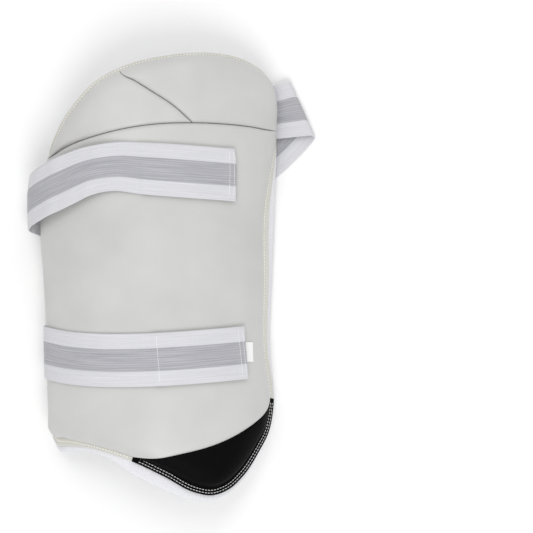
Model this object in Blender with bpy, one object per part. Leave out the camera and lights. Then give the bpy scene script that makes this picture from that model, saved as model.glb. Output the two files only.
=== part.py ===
"""Outer thigh pad of a batting set, lying on its back with its two elastic straps closed.

The pad is an open arch that wraps the outside of the thigh. A padded liner carries a moulded face of
four cushions, divided by pressed grooves, and a stitched flange that runs round their edge. Two
elastic straps go round the pad, each sewn to the liner near the right edge and closed on the face by
a hook patch. Metres, +Z up: X runs across the pad, Y up to the rounded hip end.
"""

import math

import bmesh
import bpy
import numpy as np

# Driving sizes
PAD_LENGTH = 0.429
PAD_WIDTH = 0.222
ARCH_HEIGHT = 0.060
ARCH_RADIUS = 0.125
ARCH_SKEW = 0.055
FACE_THICKNESS = 0.016
FACE_EDGE = 0.0040
EDGE_ROLL = 0.020
GROOVE_DEPTH = 0.0045
GROOVE_ROLL = 0.0055
FLANGE_WIDTH = 0.0080
FLANGE_THICKNESS = 0.0024
RIM_WIDTH = 0.011
LINER_THICKNESS = 0.0070
LINER_EDGE = 0.0045
LINER_TAPER = 0.020
STRAP_WIDTH = 0.050
STRAP_THICKNESS = 0.0018
STRAP_SLACK = 0.011
PATCH_LENGTH = 0.082
PATCH_WIDTH = 0.046
PATCH_THICKNESS = 0.0016
PATCH_INSET = 0.004
PATCH_CLEAR = 0.004
PATCH_SLOPE = 0.006
SEWN_LENGTH = 0.030
SEWN_INSET = 0.006
FOLD_RADIUS = 0.0035
LOOP_RADIUS = 0.0032
TAG_WIDTH = 0.0195
TAG_LENGTH = 0.0095
TAG_THICKNESS = 0.0006
TAG_TUCK = 0.0010
GAP = 0.0003
SEAM_GAP = 0.0004
FACE_SEAT = 0.0005
STRAP_EASE = 0.0005

# How finely bands are cut: the metres of path that a turn of one radian counts as, how far a band's
# ends stay within its path, the step round the left edge and how far it goes on before and after the
# place where the band meets the floor, and the step of a path
BEND_WEIGHT = 0.025
BAND_END = 0.001
FOOT_STEP = 0.0013
FOOT_BEFORE = 0.016
FOOT_AFTER = 0.005
PATH_STEP = 0.0003

# Sections along the pad, from the toe to the hip end. "along" is a share of PAD_LENGTH from the middle,
# "left" and "right" are where the arch would meet the floor, as shares of PAD_WIDTH from the middle,
# and "crown" is the arch's height there as a share of ARCH_HEIGHT.
SECTION_COLUMNS = ("along", "left", "right", "crown")
SECTIONS = (
    (-0.502, -0.509, 0.455, 0.93),
    (-0.275, -0.516, 0.455, 1.00),
    (-0.152, -0.518, 0.434, 1.00),
    (0.000, -0.536, 0.446, 1.00),
    (0.155, -0.554, 0.461, 1.00),
    (0.256, -0.568, 0.477, 1.00),
    (0.372, -0.640, 0.482, 0.97),
    (0.502, -0.698, 0.504, 0.87),
)

# Edge of the face, counterclockwise from the right tip of the toe. "across" goes from -1 on the left
# floor line over 0 on the crown line to 1 on the right floor line, along the arch, and "along" is a
# share of PAD_LENGTH from the middle. "flange" is how wide the stitched flange is there, as a share of
# FLANGE_WIDTH, and "rim" how far the liner stands out beyond it, as a share of RIM_WIDTH.
OUTLINE_COLUMNS = ("name", "across", "along", "flange", "rim")
OUTLINE = (
    ("toe_right", 0.957, -0.272, 0.95, 0.40),
    ("", 0.950, -0.170, 1.00, 0.60),
    ("", 0.932, -0.005, 1.00, 0.76),
    ("", 0.905, 0.153, 0.95, 1.00),
    ("", 0.915, 0.222, 0.90, 0.68),
    ("groove_right", 0.937, 0.330, 0.35, 0.25),
    ("", 0.934, 0.388, 0.33, 0.20),
    ("shoulder", 0.897, 0.430, 0.33, 0.14),
    ("", 0.812, 0.462, 0.35, 0.12),
    ("", 0.700, 0.484, 0.36, 0.12),
    ("", 0.591, 0.4955, 0.36, 0.12),
    ("", 0.440, 0.5010, 0.36, 0.12),
    ("", 0.230, 0.4945, 0.36, 0.12),
    ("dome_left", -0.100, 0.4625, 0.42, 0.12),
    ("", -0.270, 0.4325, 0.50, 0.12),
    ("hip_middle", -0.436, 0.3860, 0.60, 0.12),
    ("", -0.640, 0.3260, 0.65, 0.12),
    ("groove_left", -0.820, 0.2730, 0.70, 0.14),
    ("", -0.925, 0.2200, 0.80, 0.16),
    ("", -0.970, 0.1300, 0.85, 0.16),
    ("", -0.972, -0.0800, 0.85, 0.16),
    ("", -0.972, -0.2900, 0.90, 0.16),
    ("corner_left", -0.948, -0.3560, 1.00, 0.20),
    ("", -0.866, -0.3780, 0.95, 0.28),
    ("", -0.698, -0.3775, 0.70, 0.35),
    ("", -0.521, -0.3790, 0.50, 0.36),
    ("", -0.351, -0.3890, 0.45, 0.45),
    ("toe_left", -0.145, -0.4085, 0.50, 0.95),
    ("", 0.090, -0.4420, 0.70, 1.05),
    ("", 0.300, -0.4775, 0.80, 0.70),
    ("", 0.420, -0.4845, 0.85, 0.56),
    ("", 0.544, -0.4730, 0.90, 0.42),
    ("", 0.672, -0.4410, 0.95, 0.40),
    ("", 0.810, -0.3860, 1.00, 0.35),
    ("", 0.887, -0.3510, 1.00, 0.27),
)

# Inner points of the grooves between the cushions, in the same shares, from left to right. Each
# groove starts and ends on the edge of the cushions, or on another groove.
FLEX_GROOVE = (
    (-0.651, 0.276),
    (-0.551, 0.289),
    (-0.424, 0.301),
    (-0.307, 0.310),
    (-0.108, 0.323),
    (0.062, 0.331),
    (0.312, 0.336),
    (0.484, 0.336),
    (0.664, 0.334),
    (0.838, 0.330),
)
HIP_GROOVE = (
    (-0.080, 0.445),
    (0.002, 0.427),
    (0.085, 0.405),
    (0.207, 0.372),
)
HIP_GROOVE_FOOT = 0.306
TOE_SEAM = (
    (0.027, -0.401),
    (0.222, -0.389),
    (0.401, -0.373),
    (0.581, -0.348),
    (0.727, -0.320),
    (0.840, -0.291),
)
TOE_SEAM_DEPTH = 0.5

# Centre line of each strap round the face and the left edge: "share" goes from its right end, which
# lies at STRAP_END across, to where it meets the floor at the left, and "along" is a share of
# PAD_LENGTH.
LOWER_STRAP_END = 0.648
LOWER_STRAP = (
    (0.00, -0.169),
    (0.15, -0.177),
    (0.28, -0.183),
    (0.42, -0.187),
    (0.57, -0.187),
    (0.71, -0.181),
    (0.85, -0.169),
    (1.00, -0.160),
)
UPPER_STRAP_END = 0.502
UPPER_STRAP = (
    (0.00, 0.227),
    (0.12, 0.229),
    (0.33, 0.237),
    (0.45, 0.243),
    (0.55, 0.231),
    (0.66, 0.206),
    (0.79, 0.179),
    (1.00, 0.150),
)
SLACK_FROM = 0.36

# The loop of the upper strap that stands out at the right: where its fold lies, as shares of PAD_WIDTH
# and PAD_LENGTH, and how the strap and the fold's axis head, in degrees from +X.
LOOP_ACROSS = 0.566
LOOP_ALONG = 0.389
LOOP_HEADING = 54.0
LOOP_AXIS = 120.0
UNDERSIDE_EASE = 0.38
SEWN_ALONG = 0.364

FACE_COLOUR = (0.60, 0.60, 0.575)
FLANGE_COLOUR = (0.58, 0.57, 0.53)
LINER_COLOUR = (0.80, 0.80, 0.80)
TOE_COLOUR = (0.012, 0.012, 0.013)
STRAP_COLOUR = (0.68, 0.68, 0.71)
HOOK_COLOUR = (0.55, 0.55, 0.56)
TAG_COLOUR = (0.82, 0.82, 0.82)


def smooth(xs, ys, x):
    """A smooth curve through the points (xs, ys), read at x."""
    xs = np.asarray(xs, float)
    ys = np.asarray(ys, float)
    step = np.diff(xs)
    rise = np.diff(ys) / step
    slope = np.empty_like(ys)
    slope[1:-1] = (rise[:-1] * step[1:] + rise[1:] * step[:-1]) / (step[1:] + step[:-1])
    slope[0] = rise[0]
    slope[-1] = rise[-1]
    x = np.clip(x, xs[0], xs[-1])
    i = np.clip(np.searchsorted(xs, x) - 1, 0, len(xs) - 2)
    h = step[i]
    t = (x - xs[i]) / h
    start = ys[i] * (1 + 2 * t) * (1 - t) ** 2 + h * slope[i] * t * (1 - t) ** 2
    end = ys[i + 1] * t * t * (3 - 2 * t) + h * slope[i + 1] * t * t * (t - 1)
    return start + end


def lengths(points):
    """How far along a polyline each of its points lies."""
    steps = np.linalg.norm(np.diff(points, axis=0), axis=1)
    return np.concatenate(([0.0], np.cumsum(steps)))


def resample(points, at):
    """Points of a polyline at shares of its length."""
    far = lengths(points)
    far = far / far[-1]
    return np.stack([np.interp(at, far, points[:, k]) for k in range(points.shape[1])], axis=1)


def bend_stops(line, count, weight):
    """Places along a polyline, in metres, with steps that shorten where it turns."""
    ways = np.diff(line, axis=0)
    ways = ways / np.maximum(np.linalg.norm(ways, axis=1, keepdims=True), 1e-12)
    turns = np.arccos(np.clip(np.sum(ways[1:] * ways[:-1], axis=1), -1, 1))
    far = lengths(line)
    measure = far + weight * np.concatenate(([0.0], np.cumsum(turns), [np.sum(turns)]))
    return np.interp(np.linspace(0, measure[-1], count), measure, far)


def through(rows, count=80):
    """A smooth curve through a few points, as a polyline."""
    rows = np.asarray(rows, float)
    knots = lengths(rows)
    at = np.linspace(0.0, knots[-1], count)
    return np.stack([smooth(knots, rows[:, k], at) for k in range(rows.shape[1])], axis=1)


# The arch

def arch_reach(tilt):
    """How far across the arch has gone from its crown when it has turned by tilt."""
    s = np.sin(tilt)
    return ARCH_RADIUS * s + ARCH_SKEW / 2 * s * s


def arch_drop(tilt):
    """How far the arch has come down from its crown."""
    return ARCH_RADIUS * (1 - np.cos(tilt)) + ARCH_SKEW * (tilt / 2 - np.sin(2 * tilt) / 4)


def arch_length(tilt):
    """How long the arch is from its crown."""
    return ARCH_RADIUS * tilt + ARCH_SKEW * (1 - np.cos(tilt))


TILTS = np.linspace(-math.pi / 2, math.pi / 2, 721)
LEFT_HALF = TILTS <= 0
LEFT_TILT = np.interp(-ARCH_HEIGHT, -arch_drop(TILTS[LEFT_HALF]), TILTS[LEFT_HALF])
RIGHT_TILT = np.interp(ARCH_HEIGHT, arch_drop(TILTS[~LEFT_HALF]), TILTS[~LEFT_HALF])
LEFT_ARC = -float(arch_length(LEFT_TILT))
RIGHT_ARC = float(arch_length(RIGHT_TILT))
ARCH_SPAN = float(arch_reach(RIGHT_TILT) - arch_reach(LEFT_TILT))
STRAP_CLEAR = GAP + STRAP_EASE + STRAP_THICKNESS / 2


def section(along):
    """Left and right floor line and crown height where a section is cut, along in metres."""
    rows = np.array(SECTIONS)
    share = np.asarray(along) / PAD_LENGTH
    columns = (SECTION_COLUMNS.index(name) for name in ("left", "right", "crown"))
    left, right, crown = (smooth(rows[:, 0], rows[:, k], share) for k in columns)
    return left * PAD_WIDTH, right * PAD_WIDTH, crown * ARCH_HEIGHT


def carrier(across, along):
    """The surface between liner and face: across is measured along the arch, in metres."""
    left, right, crown = section(along)
    spread = (right - left) / ARCH_SPAN
    tilt = np.interp(across / spread, arch_length(TILTS), TILTS)
    x = left + spread * (arch_reach(tilt) - arch_reach(LEFT_TILT))
    z = crown * (1 - arch_drop(tilt) / ARCH_HEIGHT)
    return np.stack([x, np.broadcast_to(along, x.shape), z], axis=-1)


def lifted(across, along, height):
    """Points that stand off the carrier surface, square to it, by height."""
    across, along, height = np.broadcast_arrays(
        np.asarray(across, float), np.asarray(along, float), np.asarray(height, float)
    )
    step = 0.0002
    over = carrier(across + step, along) - carrier(across - step, along)
    up = carrier(across, along + step) - carrier(across, along - step)
    normal = np.cross(over, up)
    normal /= np.linalg.norm(normal, axis=-1, keepdims=True)
    return carrier(across, along) + normal * height[..., None]


def flat(shares):
    """Shares across and along, as metres on the flattened pad."""
    shares = np.asarray(shares, float)
    along = shares[..., 1] * PAD_LENGTH
    left, right, _ = section(along)
    arc = np.where(shares[..., 0] < 0, LEFT_ARC, RIGHT_ARC)
    return np.stack([shares[..., 0] * arc * (right - left) / ARCH_SPAN, along], axis=-1)


# The edge of the face

class Edge:
    """The closed edge of the face on the flattened pad, read by a share of the way round."""

    def __init__(self):
        shares = np.array([row[1:3] for row in OUTLINE])
        points = flat(shares)
        closed = np.vstack([points, points[:1]])
        self.knots = lengths(closed)
        self.total = self.knots[-1]
        self.columns = {"across": closed[:, 0], "along": closed[:, 1]}
        for name in ("flange", "rim"):
            values = [row[OUTLINE_COLUMNS.index(name)] for row in OUTLINE]
            self.columns[name] = np.array(values + values[:1])
        self.names = {row[0]: i for i, row in enumerate(OUTLINE) if row[0]}

    def read(self, column, at):
        """One column as a smooth closed curve, at metres round the edge."""
        lap = 3
        knots = np.concatenate([self.knots[-lap - 1:-1] - self.total, self.knots,
                                self.knots[1:lap + 1] + self.total])
        values = self.columns[column]
        values = np.concatenate([values[-lap - 1:-1], values, values[1:lap + 1]])
        return smooth(knots, values, np.mod(at, self.total))

    def points(self, at):
        """Points of the edge on the flattened pad."""
        return np.stack([self.read(name, at) for name in ("across", "along")], axis=-1)

    def place(self, name):
        """How far round the edge a named point lies."""
        return self.knots[self.names[name]]

    def flange(self, at):
        """Width of the flange."""
        return self.read("flange", at) * FLANGE_WIDTH

    def rim(self, at):
        """How far the liner stands out beyond the flange."""
        return self.read("rim", at) * RIM_WIDTH

    def inset(self, at, depth):
        """Points that lie inside the edge by depth, square to it."""
        at = np.asarray(at, float)
        step = 0.002
        ahead, behind = self.points(at + step), self.points(at - step)
        tangent = ahead - behind
        tangent /= np.linalg.norm(tangent, axis=-1, keepdims=True)
        inward = np.stack([-tangent[..., 1], tangent[..., 0]], axis=-1)
        return self.points(at) + inward * np.broadcast_to(depth, at.shape)[..., None]

    def run(self, start, end, depth, count=120):
        """The edge from start round to end, inset by a depth that a function of the place gives."""
        if end < start:
            end += self.total
        at = np.linspace(start, end, count)
        return self.inset(at, depth(at))


EDGE = Edge()


def cushion_depth(at):
    """Where the cushions end, just inside the flange."""
    return EDGE.flange(at) + SEAM_GAP


def rim_depth(at):
    """Where the liner ends, outside the edge."""
    return -EDGE.rim(at)


def no_depth(at):
    """The edge itself."""
    return np.zeros_like(at)


def cushion_point(at):
    """The end of the cushions at one place of the edge."""
    return EDGE.inset(np.array([at]), cushion_depth(np.array([at])))[0]


def strap_level():
    """Height of a strap's middle where it lies on the floor, under the liner's lowest point."""
    rim = EDGE.run(0.0, EDGE.total, rim_depth, 420)
    lowest = lifted(rim[:, 0], rim[:, 1], -LINER_EDGE)[:, 2].min()
    return float(lowest) - GAP - STRAP_THICKNESS / 2


STRAP_LEVEL = strap_level()
FLEX_LEFT = EDGE.place("groove_left")
FLEX_RIGHT = EDGE.place("groove_right")
HIP_TOP = EDGE.place("dome_left")
TOE_LEFT = EDGE.place("toe_left")
TOE_RIGHT = EDGE.place("toe_right") + EDGE.total


def groove(rows, start, end, aside=0.0):
    """A groove from start to end through its inner rows, moved aside to its left by a small gap."""
    points = np.vstack([start, flat(rows), end])
    line = through(points)
    tangent = np.gradient(line, axis=0)
    tangent /= np.linalg.norm(tangent, axis=1, keepdims=True)
    left = np.stack([-tangent[:, 1], tangent[:, 0]], axis=1)
    return line + left * aside


def flex_groove(aside=0.0):
    """The curved groove that lets the hip end bend, from the left edge to the right."""
    start = cushion_point(FLEX_LEFT - aside)
    end = cushion_point(FLEX_RIGHT + aside)
    inner = groove(FLEX_GROOVE, cushion_point(FLEX_LEFT), cushion_point(FLEX_RIGHT), aside)
    inner[0] = start
    inner[-1] = end
    return inner


def flex_cut(aside=0.0):
    """The part number of the flex groove's points where the hip groove meets it."""
    line = flex_groove(aside)
    foot = flat((HIP_GROOVE_FOOT, FLEX_GROOVE[6][1]))[0]
    return int(np.argmin(np.abs(line[:, 0] - foot)))


def hip_groove(aside=0.0):
    """The slanting groove across the hip end, from its top down to the flex groove."""
    half = SEAM_GAP / 2
    foot = flex_groove(half)[flex_cut(half)]
    line = groove(HIP_GROOVE, cushion_point(HIP_TOP), foot, aside)
    line[0] = cushion_point(HIP_TOP - aside)
    line[-1] = foot + np.array([aside, 0.0])
    return line


def toe_seam(aside=0.0):
    """The seam between the pale face and the black toe, from left to right."""
    line = groove(TOE_SEAM, cushion_point(TOE_LEFT), cushion_point(TOE_RIGHT), aside)
    line[0] = cushion_point(TOE_LEFT - aside)
    line[-1] = cushion_point(TOE_RIGHT + aside)
    return line


# How thick the face is

def distance(points, line):
    """Distance of each point to a polyline, on the flattened pad."""
    points = np.asarray(points, float).reshape(-1, 1, 2)
    start = line[None, :-1]
    way = line[None, 1:] - start
    share = np.sum((points - start) * way, axis=2) / np.maximum(np.sum(way * way, axis=2), 1e-18)
    near = start + way * np.clip(share, 0, 1)[..., None]
    return np.sqrt(np.min(np.sum((points - near) ** 2, axis=2), axis=1))


def quarter_round(share):
    """Height of a quarter round from 0 at its foot to 1 where it levels out."""
    return np.sqrt(1 - (1 - np.clip(share, 0, 1)) ** 2)


CUSHION_EDGE = EDGE.run(0.0, EDGE.total, cushion_depth, 420)
GROOVE_LINES = ((flex_groove(), 1.0), (hip_groove(), 1.0), (toe_seam(), TOE_SEAM_DEPTH))


def inside(points, loop):
    """Which points lie inside a closed polyline."""
    x, y = points[:, 0][:, None], points[:, 1][:, None]
    x0, y0 = loop[:-1, 0][None], loop[:-1, 1][None]
    x1, y1 = loop[1:, 0][None], loop[1:, 1][None]
    rise = np.where(y1 == y0, 1e-12, y1 - y0)
    crosses = ((y0 > y) != (y1 > y)) & (x < x0 + (x1 - x0) * (y - y0) / rise)
    return np.sum(crosses, axis=1) % 2 == 1


def face_height(points):
    """Height of the face's top above the carrier surface, with the flange as its lowest level."""
    shape = np.asarray(points).shape[:-1]
    points = np.asarray(points, float).reshape(-1, 2)
    rolled = quarter_round(distance(points, CUSHION_EDGE) / EDGE_ROLL)
    height = FACE_EDGE + (FACE_THICKNESS - FACE_EDGE) * rolled
    for line, share in GROOVE_LINES:
        pressed = GROOVE_DEPTH * share * (1 - quarter_round(distance(points, line) / GROOVE_ROLL))
        height = np.minimum(height, np.maximum(FACE_THICKNESS - pressed, FACE_EDGE))
    flange = FLANGE_THICKNESS + FACE_SEAT
    edge_gap = distance(points, CUSHION_EDGE) < 2 * SEAM_GAP
    height = np.where(inside(points, CUSHION_EDGE) | edge_gap, height, flange)
    return height.reshape(shape)


def liner_thickness(points):
    """Thickness of the liner, which thins towards its edge."""
    shape = points.shape[:-1]
    rim = EDGE.run(0.0, EDGE.total, rim_depth, 420)
    share = quarter_round(distance(points, rim) / LINER_TAPER)
    return (LINER_EDGE + (LINER_THICKNESS - LINER_EDGE) * share).reshape(shape)


# Solids

def material(name, colour, roughness):
    """A plain finish."""
    made = bpy.data.materials.new(name)
    made.use_nodes = True
    shader = made.node_tree.nodes["Principled BSDF"]
    shader.inputs["Base Color"].default_value = (*colour, 1.0)
    shader.inputs["Roughness"].default_value = roughness
    return made


def solid(name, top, bottom, finish):
    """A closed sheet between two grids of points, made from one grid and its extrusion."""
    rows, columns = top.shape[0] - 1, top.shape[1] - 1
    mesh = bmesh.new()
    layer = mesh.verts.layers.int.new("place")
    bmesh.ops.create_grid(mesh, x_segments=rows, y_segments=columns, size=1.0)
    for vert in mesh.verts:
        i = round((vert.co.x + 1) / 2 * rows)
        j = round((vert.co.y + 1) / 2 * columns)
        vert[layer] = i * (columns + 1) + j
    below = list(mesh.verts)
    raised = bmesh.ops.extrude_face_region(mesh, geom=mesh.faces[:], use_keep_orig=True)
    above = [item for item in raised["geom"] if isinstance(item, bmesh.types.BMVert)]
    for verts, grid in ((below, bottom), (above, top)):
        for vert in verts:
            i, j = divmod(vert[layer], columns + 1)
            vert.co = grid[i, j]
    bmesh.ops.recalc_face_normals(mesh, faces=mesh.faces[:])
    if mesh.calc_volume(signed=True) < 0:
        bmesh.ops.reverse_faces(mesh, faces=mesh.faces[:])
    data = bpy.data.meshes.new(name)
    mesh.to_mesh(data)
    mesh.free()
    data.shade_smooth()
    data.set_sharp_from_angle(angle=math.radians(40))
    data.materials.append(finish)
    made = bpy.data.objects.new(name, data)
    bpy.context.scene.collection.objects.link(made)
    return made


def stops(length, first, last, count):
    """Shares of a length: close together at both ends, as the lists say, and even between them."""
    first = [d / length for d in first]
    last = [1 - d / length for d in reversed(last)]
    middle = np.linspace(first[-1], last[0], count + 1)[1:-1]
    return np.array(first + list(middle) + last)


def patch(bottom, top, left, right, across, along):
    """A grid of flat points that fits four border lines, at shares of their lengths."""
    low, high = resample(bottom, across), resample(top, across)
    near, far = resample(left, along), resample(right, along)
    s = across[:, None, None]
    t = along[None, :, None]
    ruled = low[:, None] * (1 - t) + high[:, None] * t + near[None] * (1 - s) + far[None] * s
    corners = (low[0] * (1 - s) * (1 - t) + low[-1] * s * (1 - t)
               + high[0] * (1 - s) * t + high[-1] * s * t)
    return ruled - corners


ROLL_STOPS = (0.0, 0.06 * EDGE_ROLL, 0.26 * EDGE_ROLL, 0.6 * EDGE_ROLL, EDGE_ROLL)
HEEL_STOPS = (0.0, 0.22 * EDGE_ROLL, 0.6 * EDGE_ROLL, EDGE_ROLL)
TOE_STOPS = (0.0, 0.2 * EDGE_ROLL, 0.5 * EDGE_ROLL, EDGE_ROLL)
GROOVE_STOPS = (0.0, 0.3 * GROOVE_ROLL, GROOVE_ROLL)
LINER_STOPS = (0.0, 0.3 * LINER_TAPER)


def cushion(name, borders, across, along, finish):
    """One cushion of the face, from its four border lines on the flattened pad."""
    grid = patch(*borders, across, along)
    top = lifted(grid[..., 0], grid[..., 1], face_height(grid))
    bottom = lifted(grid[..., 0], grid[..., 1], FACE_SEAT)
    return solid(name, top, bottom, finish)


def span(line):
    """Length of a polyline."""
    return lengths(line)[-1]


def main_pad(finish):
    """The large cushion between the flex groove and the toe."""
    half = SEAM_GAP / 2
    heel = EDGE.run(EDGE.place("corner_left"), TOE_LEFT - half, cushion_depth)
    bottom = np.vstack([heel[:-1], toe_seam(half)])
    top = flex_groove(-half)
    left = EDGE.run(FLEX_LEFT + half, EDGE.place("corner_left"), cushion_depth)[::-1]
    right = EDGE.run(TOE_RIGHT - EDGE.total + half, FLEX_RIGHT - half, cushion_depth)
    across = stops(span(top), ROLL_STOPS, ROLL_STOPS, 17)
    along = stops(span(left), HEEL_STOPS, GROOVE_STOPS, 17)
    return cushion("main_pad", (bottom, top, left, right), across, along, finish)


def hip_pads(finish):
    """The two cushions of the hip end, left and right of the slanting groove."""
    half = SEAM_GAP / 2
    flex = flex_groove(half)
    cut = flex_cut(half)
    slant_left = hip_groove(-half)
    slant_right = hip_groove(half)
    foot_left = np.vstack([flex[:cut], slant_left[-1:]])
    foot_right = np.vstack([slant_right[-1:], flex[cut + 1:]])
    middle = EDGE.place("hip_middle")
    left = EDGE.run(middle, FLEX_LEFT - half, cushion_depth)[::-1]
    top = EDGE.run(HIP_TOP + half, middle, cushion_depth)[::-1]
    across = stops(span(foot_left), ROLL_STOPS, GROOVE_STOPS, 10)
    along = stops(span(slant_left), GROOVE_STOPS, ROLL_STOPS, 4)
    cushion("hip_pad_left", (foot_left, top, left, slant_left[::-1]), across, along, finish)
    shoulder = EDGE.place("shoulder")
    right = EDGE.run(FLEX_RIGHT + half, shoulder, cushion_depth)
    top = EDGE.run(shoulder, HIP_TOP - half, cushion_depth)[::-1]
    across = stops(span(foot_right), GROOVE_STOPS, ROLL_STOPS, 10)
    along = stops(span(slant_right), GROOVE_STOPS, ROLL_STOPS, 5)
    cushion("hip_pad_right", (foot_right, top, slant_right[::-1], right), across, along, finish)


def toe_pad(finish):
    """The black toe, which carries its own stitched edge."""
    half = SEAM_GAP / 2
    top = toe_seam(-half)
    bottom = EDGE.run(TOE_LEFT + half, TOE_RIGHT - half, no_depth, 160)
    left = np.stack([bottom[0], top[0]])
    right = np.stack([bottom[-1], top[-1]])
    across = stops(span(top), TOE_STOPS, TOE_STOPS, 12)
    along = np.array([0.0, 0.10, 0.17, 0.24, 0.36, 0.52, 0.72, 0.93, 1.0])
    cushion("toe_pad", (bottom, top, left, right), across, along, finish)


def edge_binding(finish):
    """The stitched flange round the pale cushions, open where the toe closes the edge."""
    half = SEAM_GAP / 2
    start = TOE_RIGHT - EDGE.total + half
    whole = np.linspace(start, TOE_LEFT - half, 600)
    shape = EDGE.inset(whole, np.zeros_like(whole))
    at = start + bend_stops(shape, 92, BEND_WEIGHT) / span(shape) * (TOE_LEFT - half - start)
    outer = EDGE.inset(at, np.zeros_like(at))
    inner = EDGE.inset(at, EDGE.flange(at))
    grid = np.stack([outer, inner], axis=1)
    top = lifted(grid[..., 0], grid[..., 1], FLANGE_THICKNESS + FACE_SEAT)
    bottom = lifted(grid[..., 0], grid[..., 1], FACE_SEAT)
    solid("edge_binding", top, bottom, finish)


def back_liner(finish):
    """The padded liner that lies on the thigh and carries the face."""
    corner = EDGE.place("corner_left")
    shoulder = EDGE.place("shoulder")
    start = TOE_RIGHT - EDGE.total
    bottom = EDGE.run(corner, TOE_RIGHT, rim_depth, 200)
    right = EDGE.run(start, shoulder, rim_depth)
    top = EDGE.run(shoulder, FLEX_LEFT, rim_depth, 200)[::-1]
    left = EDGE.run(FLEX_LEFT, corner, rim_depth)[::-1]
    across = stops(span(top), LINER_STOPS, LINER_STOPS, 24)
    along = stops(span(left), LINER_STOPS, LINER_STOPS, 19)
    grid = patch(bottom, top, left, right, across, along)
    upper = lifted(grid[..., 0], grid[..., 1], 0.0)
    lower = lifted(grid[..., 0], grid[..., 1], -liner_thickness(grid))
    solid("back_liner", upper, lower, finish)


# Straps

def hull(points):
    """The convex hull of flat points, counterclockwise from the lowest left one."""
    order = points[np.lexsort((points[:, 1], points[:, 0]))]

    def half(run):
        kept = []
        for p in run:
            while len(kept) > 1:
                a, b = kept[-1] - kept[-2], p - kept[-2]
                if a[0] * b[1] - a[1] * b[0] > 0:
                    break
                kept.pop()
            kept.append(p)
        return kept[:-1]

    return np.array(half(order) + half(order[::-1]))


def around(chain, clear):
    """An open convex chain moved outwards by clear, with round corners."""
    out = []
    ways = np.diff(chain, axis=0)
    for i in range(len(chain)):
        before = ways[max(i - 1, 0)]
        after = ways[min(i, len(ways) - 1)]
        start = math.atan2(-before[0], before[1])
        turn = (math.atan2(-after[0], after[1]) - start + 1e-9) % (2 * math.pi)
        count = max(1, math.ceil(turn / math.radians(12)))
        for k in range(count + 1):
            angle = start + turn * k / count
            out.append(chain[i] + clear * np.array([math.cos(angle), math.sin(angle)]))
    return np.array(out)


def side_rim(along, start, end):
    """Where the liner ends on one side, on the flattened pad."""
    line = EDGE.run(start, end, rim_depth, 300)
    line = line[np.argsort(line[:, 1])]
    return np.interp(along, line[:, 1], line[:, 0])


def pad_section(along, end):
    """The pad's outer points at one section, from a strap's right end over the left edge."""
    across = np.linspace(end, side_rim(along, HIP_TOP, EDGE.place("corner_left")), 160)
    points = np.stack([across, np.full_like(across, along)], axis=1)
    tops = lifted(points[:, 0], points[:, 1], face_height(points))
    lows = lifted(points[-12:, 0], points[-12:, 1], -liner_thickness(points[-12:]))
    return np.vstack([tops, lows])[:, (0, 2)]


def left_foot(path):
    """How far along a path round the pad it comes down to the floor at the left."""
    low = path[:, 1] < STRAP_LEVEL + 1e-5
    return float(lengths(path)[int(np.argmax(low))])


class Wrap:
    """Paths round the pad at several sections, so that a band can follow all of them."""

    def __init__(self, centre, breadth, end, clear, extra=None, tail=None):
        self.at = np.linspace(centre - 0.75 * breadth, centre + 0.75 * breadth, 13)
        self.paths = []
        for along in self.at:
            outer = pad_section(along, end)
            lowest = outer[int(np.argmin(outer[:, 1])), 0]
            level = STRAP_LEVEL + clear
            foot = np.array([[lowest, level], [outer[0, 0], level]])
            loop = hull(np.vstack([outer, foot]))
            first = int(np.argmin(np.linalg.norm(loop - outer[0], axis=1)))
            loop = np.roll(loop, -first, axis=0)
            loop[-1, 0] = PAD_WIDTH
            path = around(loop, clear)
            path[:, 1] = np.maximum(path[:, 1], STRAP_LEVEL)
            if extra is not None:
                path = extra(path)
            if tail is not None:
                path = tail(path, along)
            self.paths.append(path)
        self.paths = [dense(path, PATH_STEP) for path in self.paths]
        feet = [left_foot(path) for path in self.paths]
        self.foot = float(np.mean(feet))
        self.far = []
        for path, foot in zip(self.paths, feet):
            far = lengths(path)
            self.far.append(np.where(far < foot, far * self.foot / foot, far - foot + self.foot))

    def moved(self, out):
        """The paths moved out, square to themselves."""
        return [moved_out(path, np.full(len(path), out)) for path in self.paths]

    def points(self, far, along, out=0.0):
        """Points at far metres along the paths and along metres up the pad, moved out by out."""
        far, along = np.broadcast_arrays(np.asarray(far, float), np.asarray(along, float))
        found = np.stack([
            np.stack([np.interp(far, own, path[:, k]) for k in (0, 1)], axis=-1)
            for own, path in zip(self.far, self.moved(out))
        ])
        place = np.clip((along - self.at[0]) / (self.at[1] - self.at[0]), 0, len(self.at) - 1.001)
        low = place.astype(int)
        share = (place - low)[..., None]
        rows, columns = np.indices(far.shape)
        flat_point = found[low, rows, columns] * (1 - share) + found[low + 1, rows, columns] * share
        return np.stack([flat_point[..., 0], along, flat_point[..., 1]], axis=-1)


def band(wrap, far, table, width, lines, out=0.0):
    """A surface of a band that follows a wrap, with lines points across it."""
    rows = np.array(table)
    reach = width / 4
    behind, along, ahead = (smooth(rows[:, 0], rows[:, 1], place / wrap.foot) * PAD_LENGTH
                            for place in (far - reach, far, far + reach))
    slope = np.arctan((ahead - behind) / (2 * reach))
    aside = np.linspace(-width / 2, width / 2, lines)[None]
    return wrap.points(far[:, None] - aside * np.sin(slope)[:, None],
                       along[:, None] + aside * np.cos(slope)[:, None], out)


def round_foot(wrap, count, path, whole):
    """Places along a band: closer together where it bends, and closest round the left edge."""
    far = bend_stops(path, count, BEND_WEIGHT)
    start, end = wrap.foot - FOOT_BEFORE, wrap.foot + FOOT_AFTER
    fine = np.arange(start, end, FOOT_STEP)
    far = np.concatenate([far[(far < start - FOOT_STEP) | (far > end + FOOT_STEP)], fine])
    return np.clip(np.sort(far), BAND_END, whole)


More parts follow.
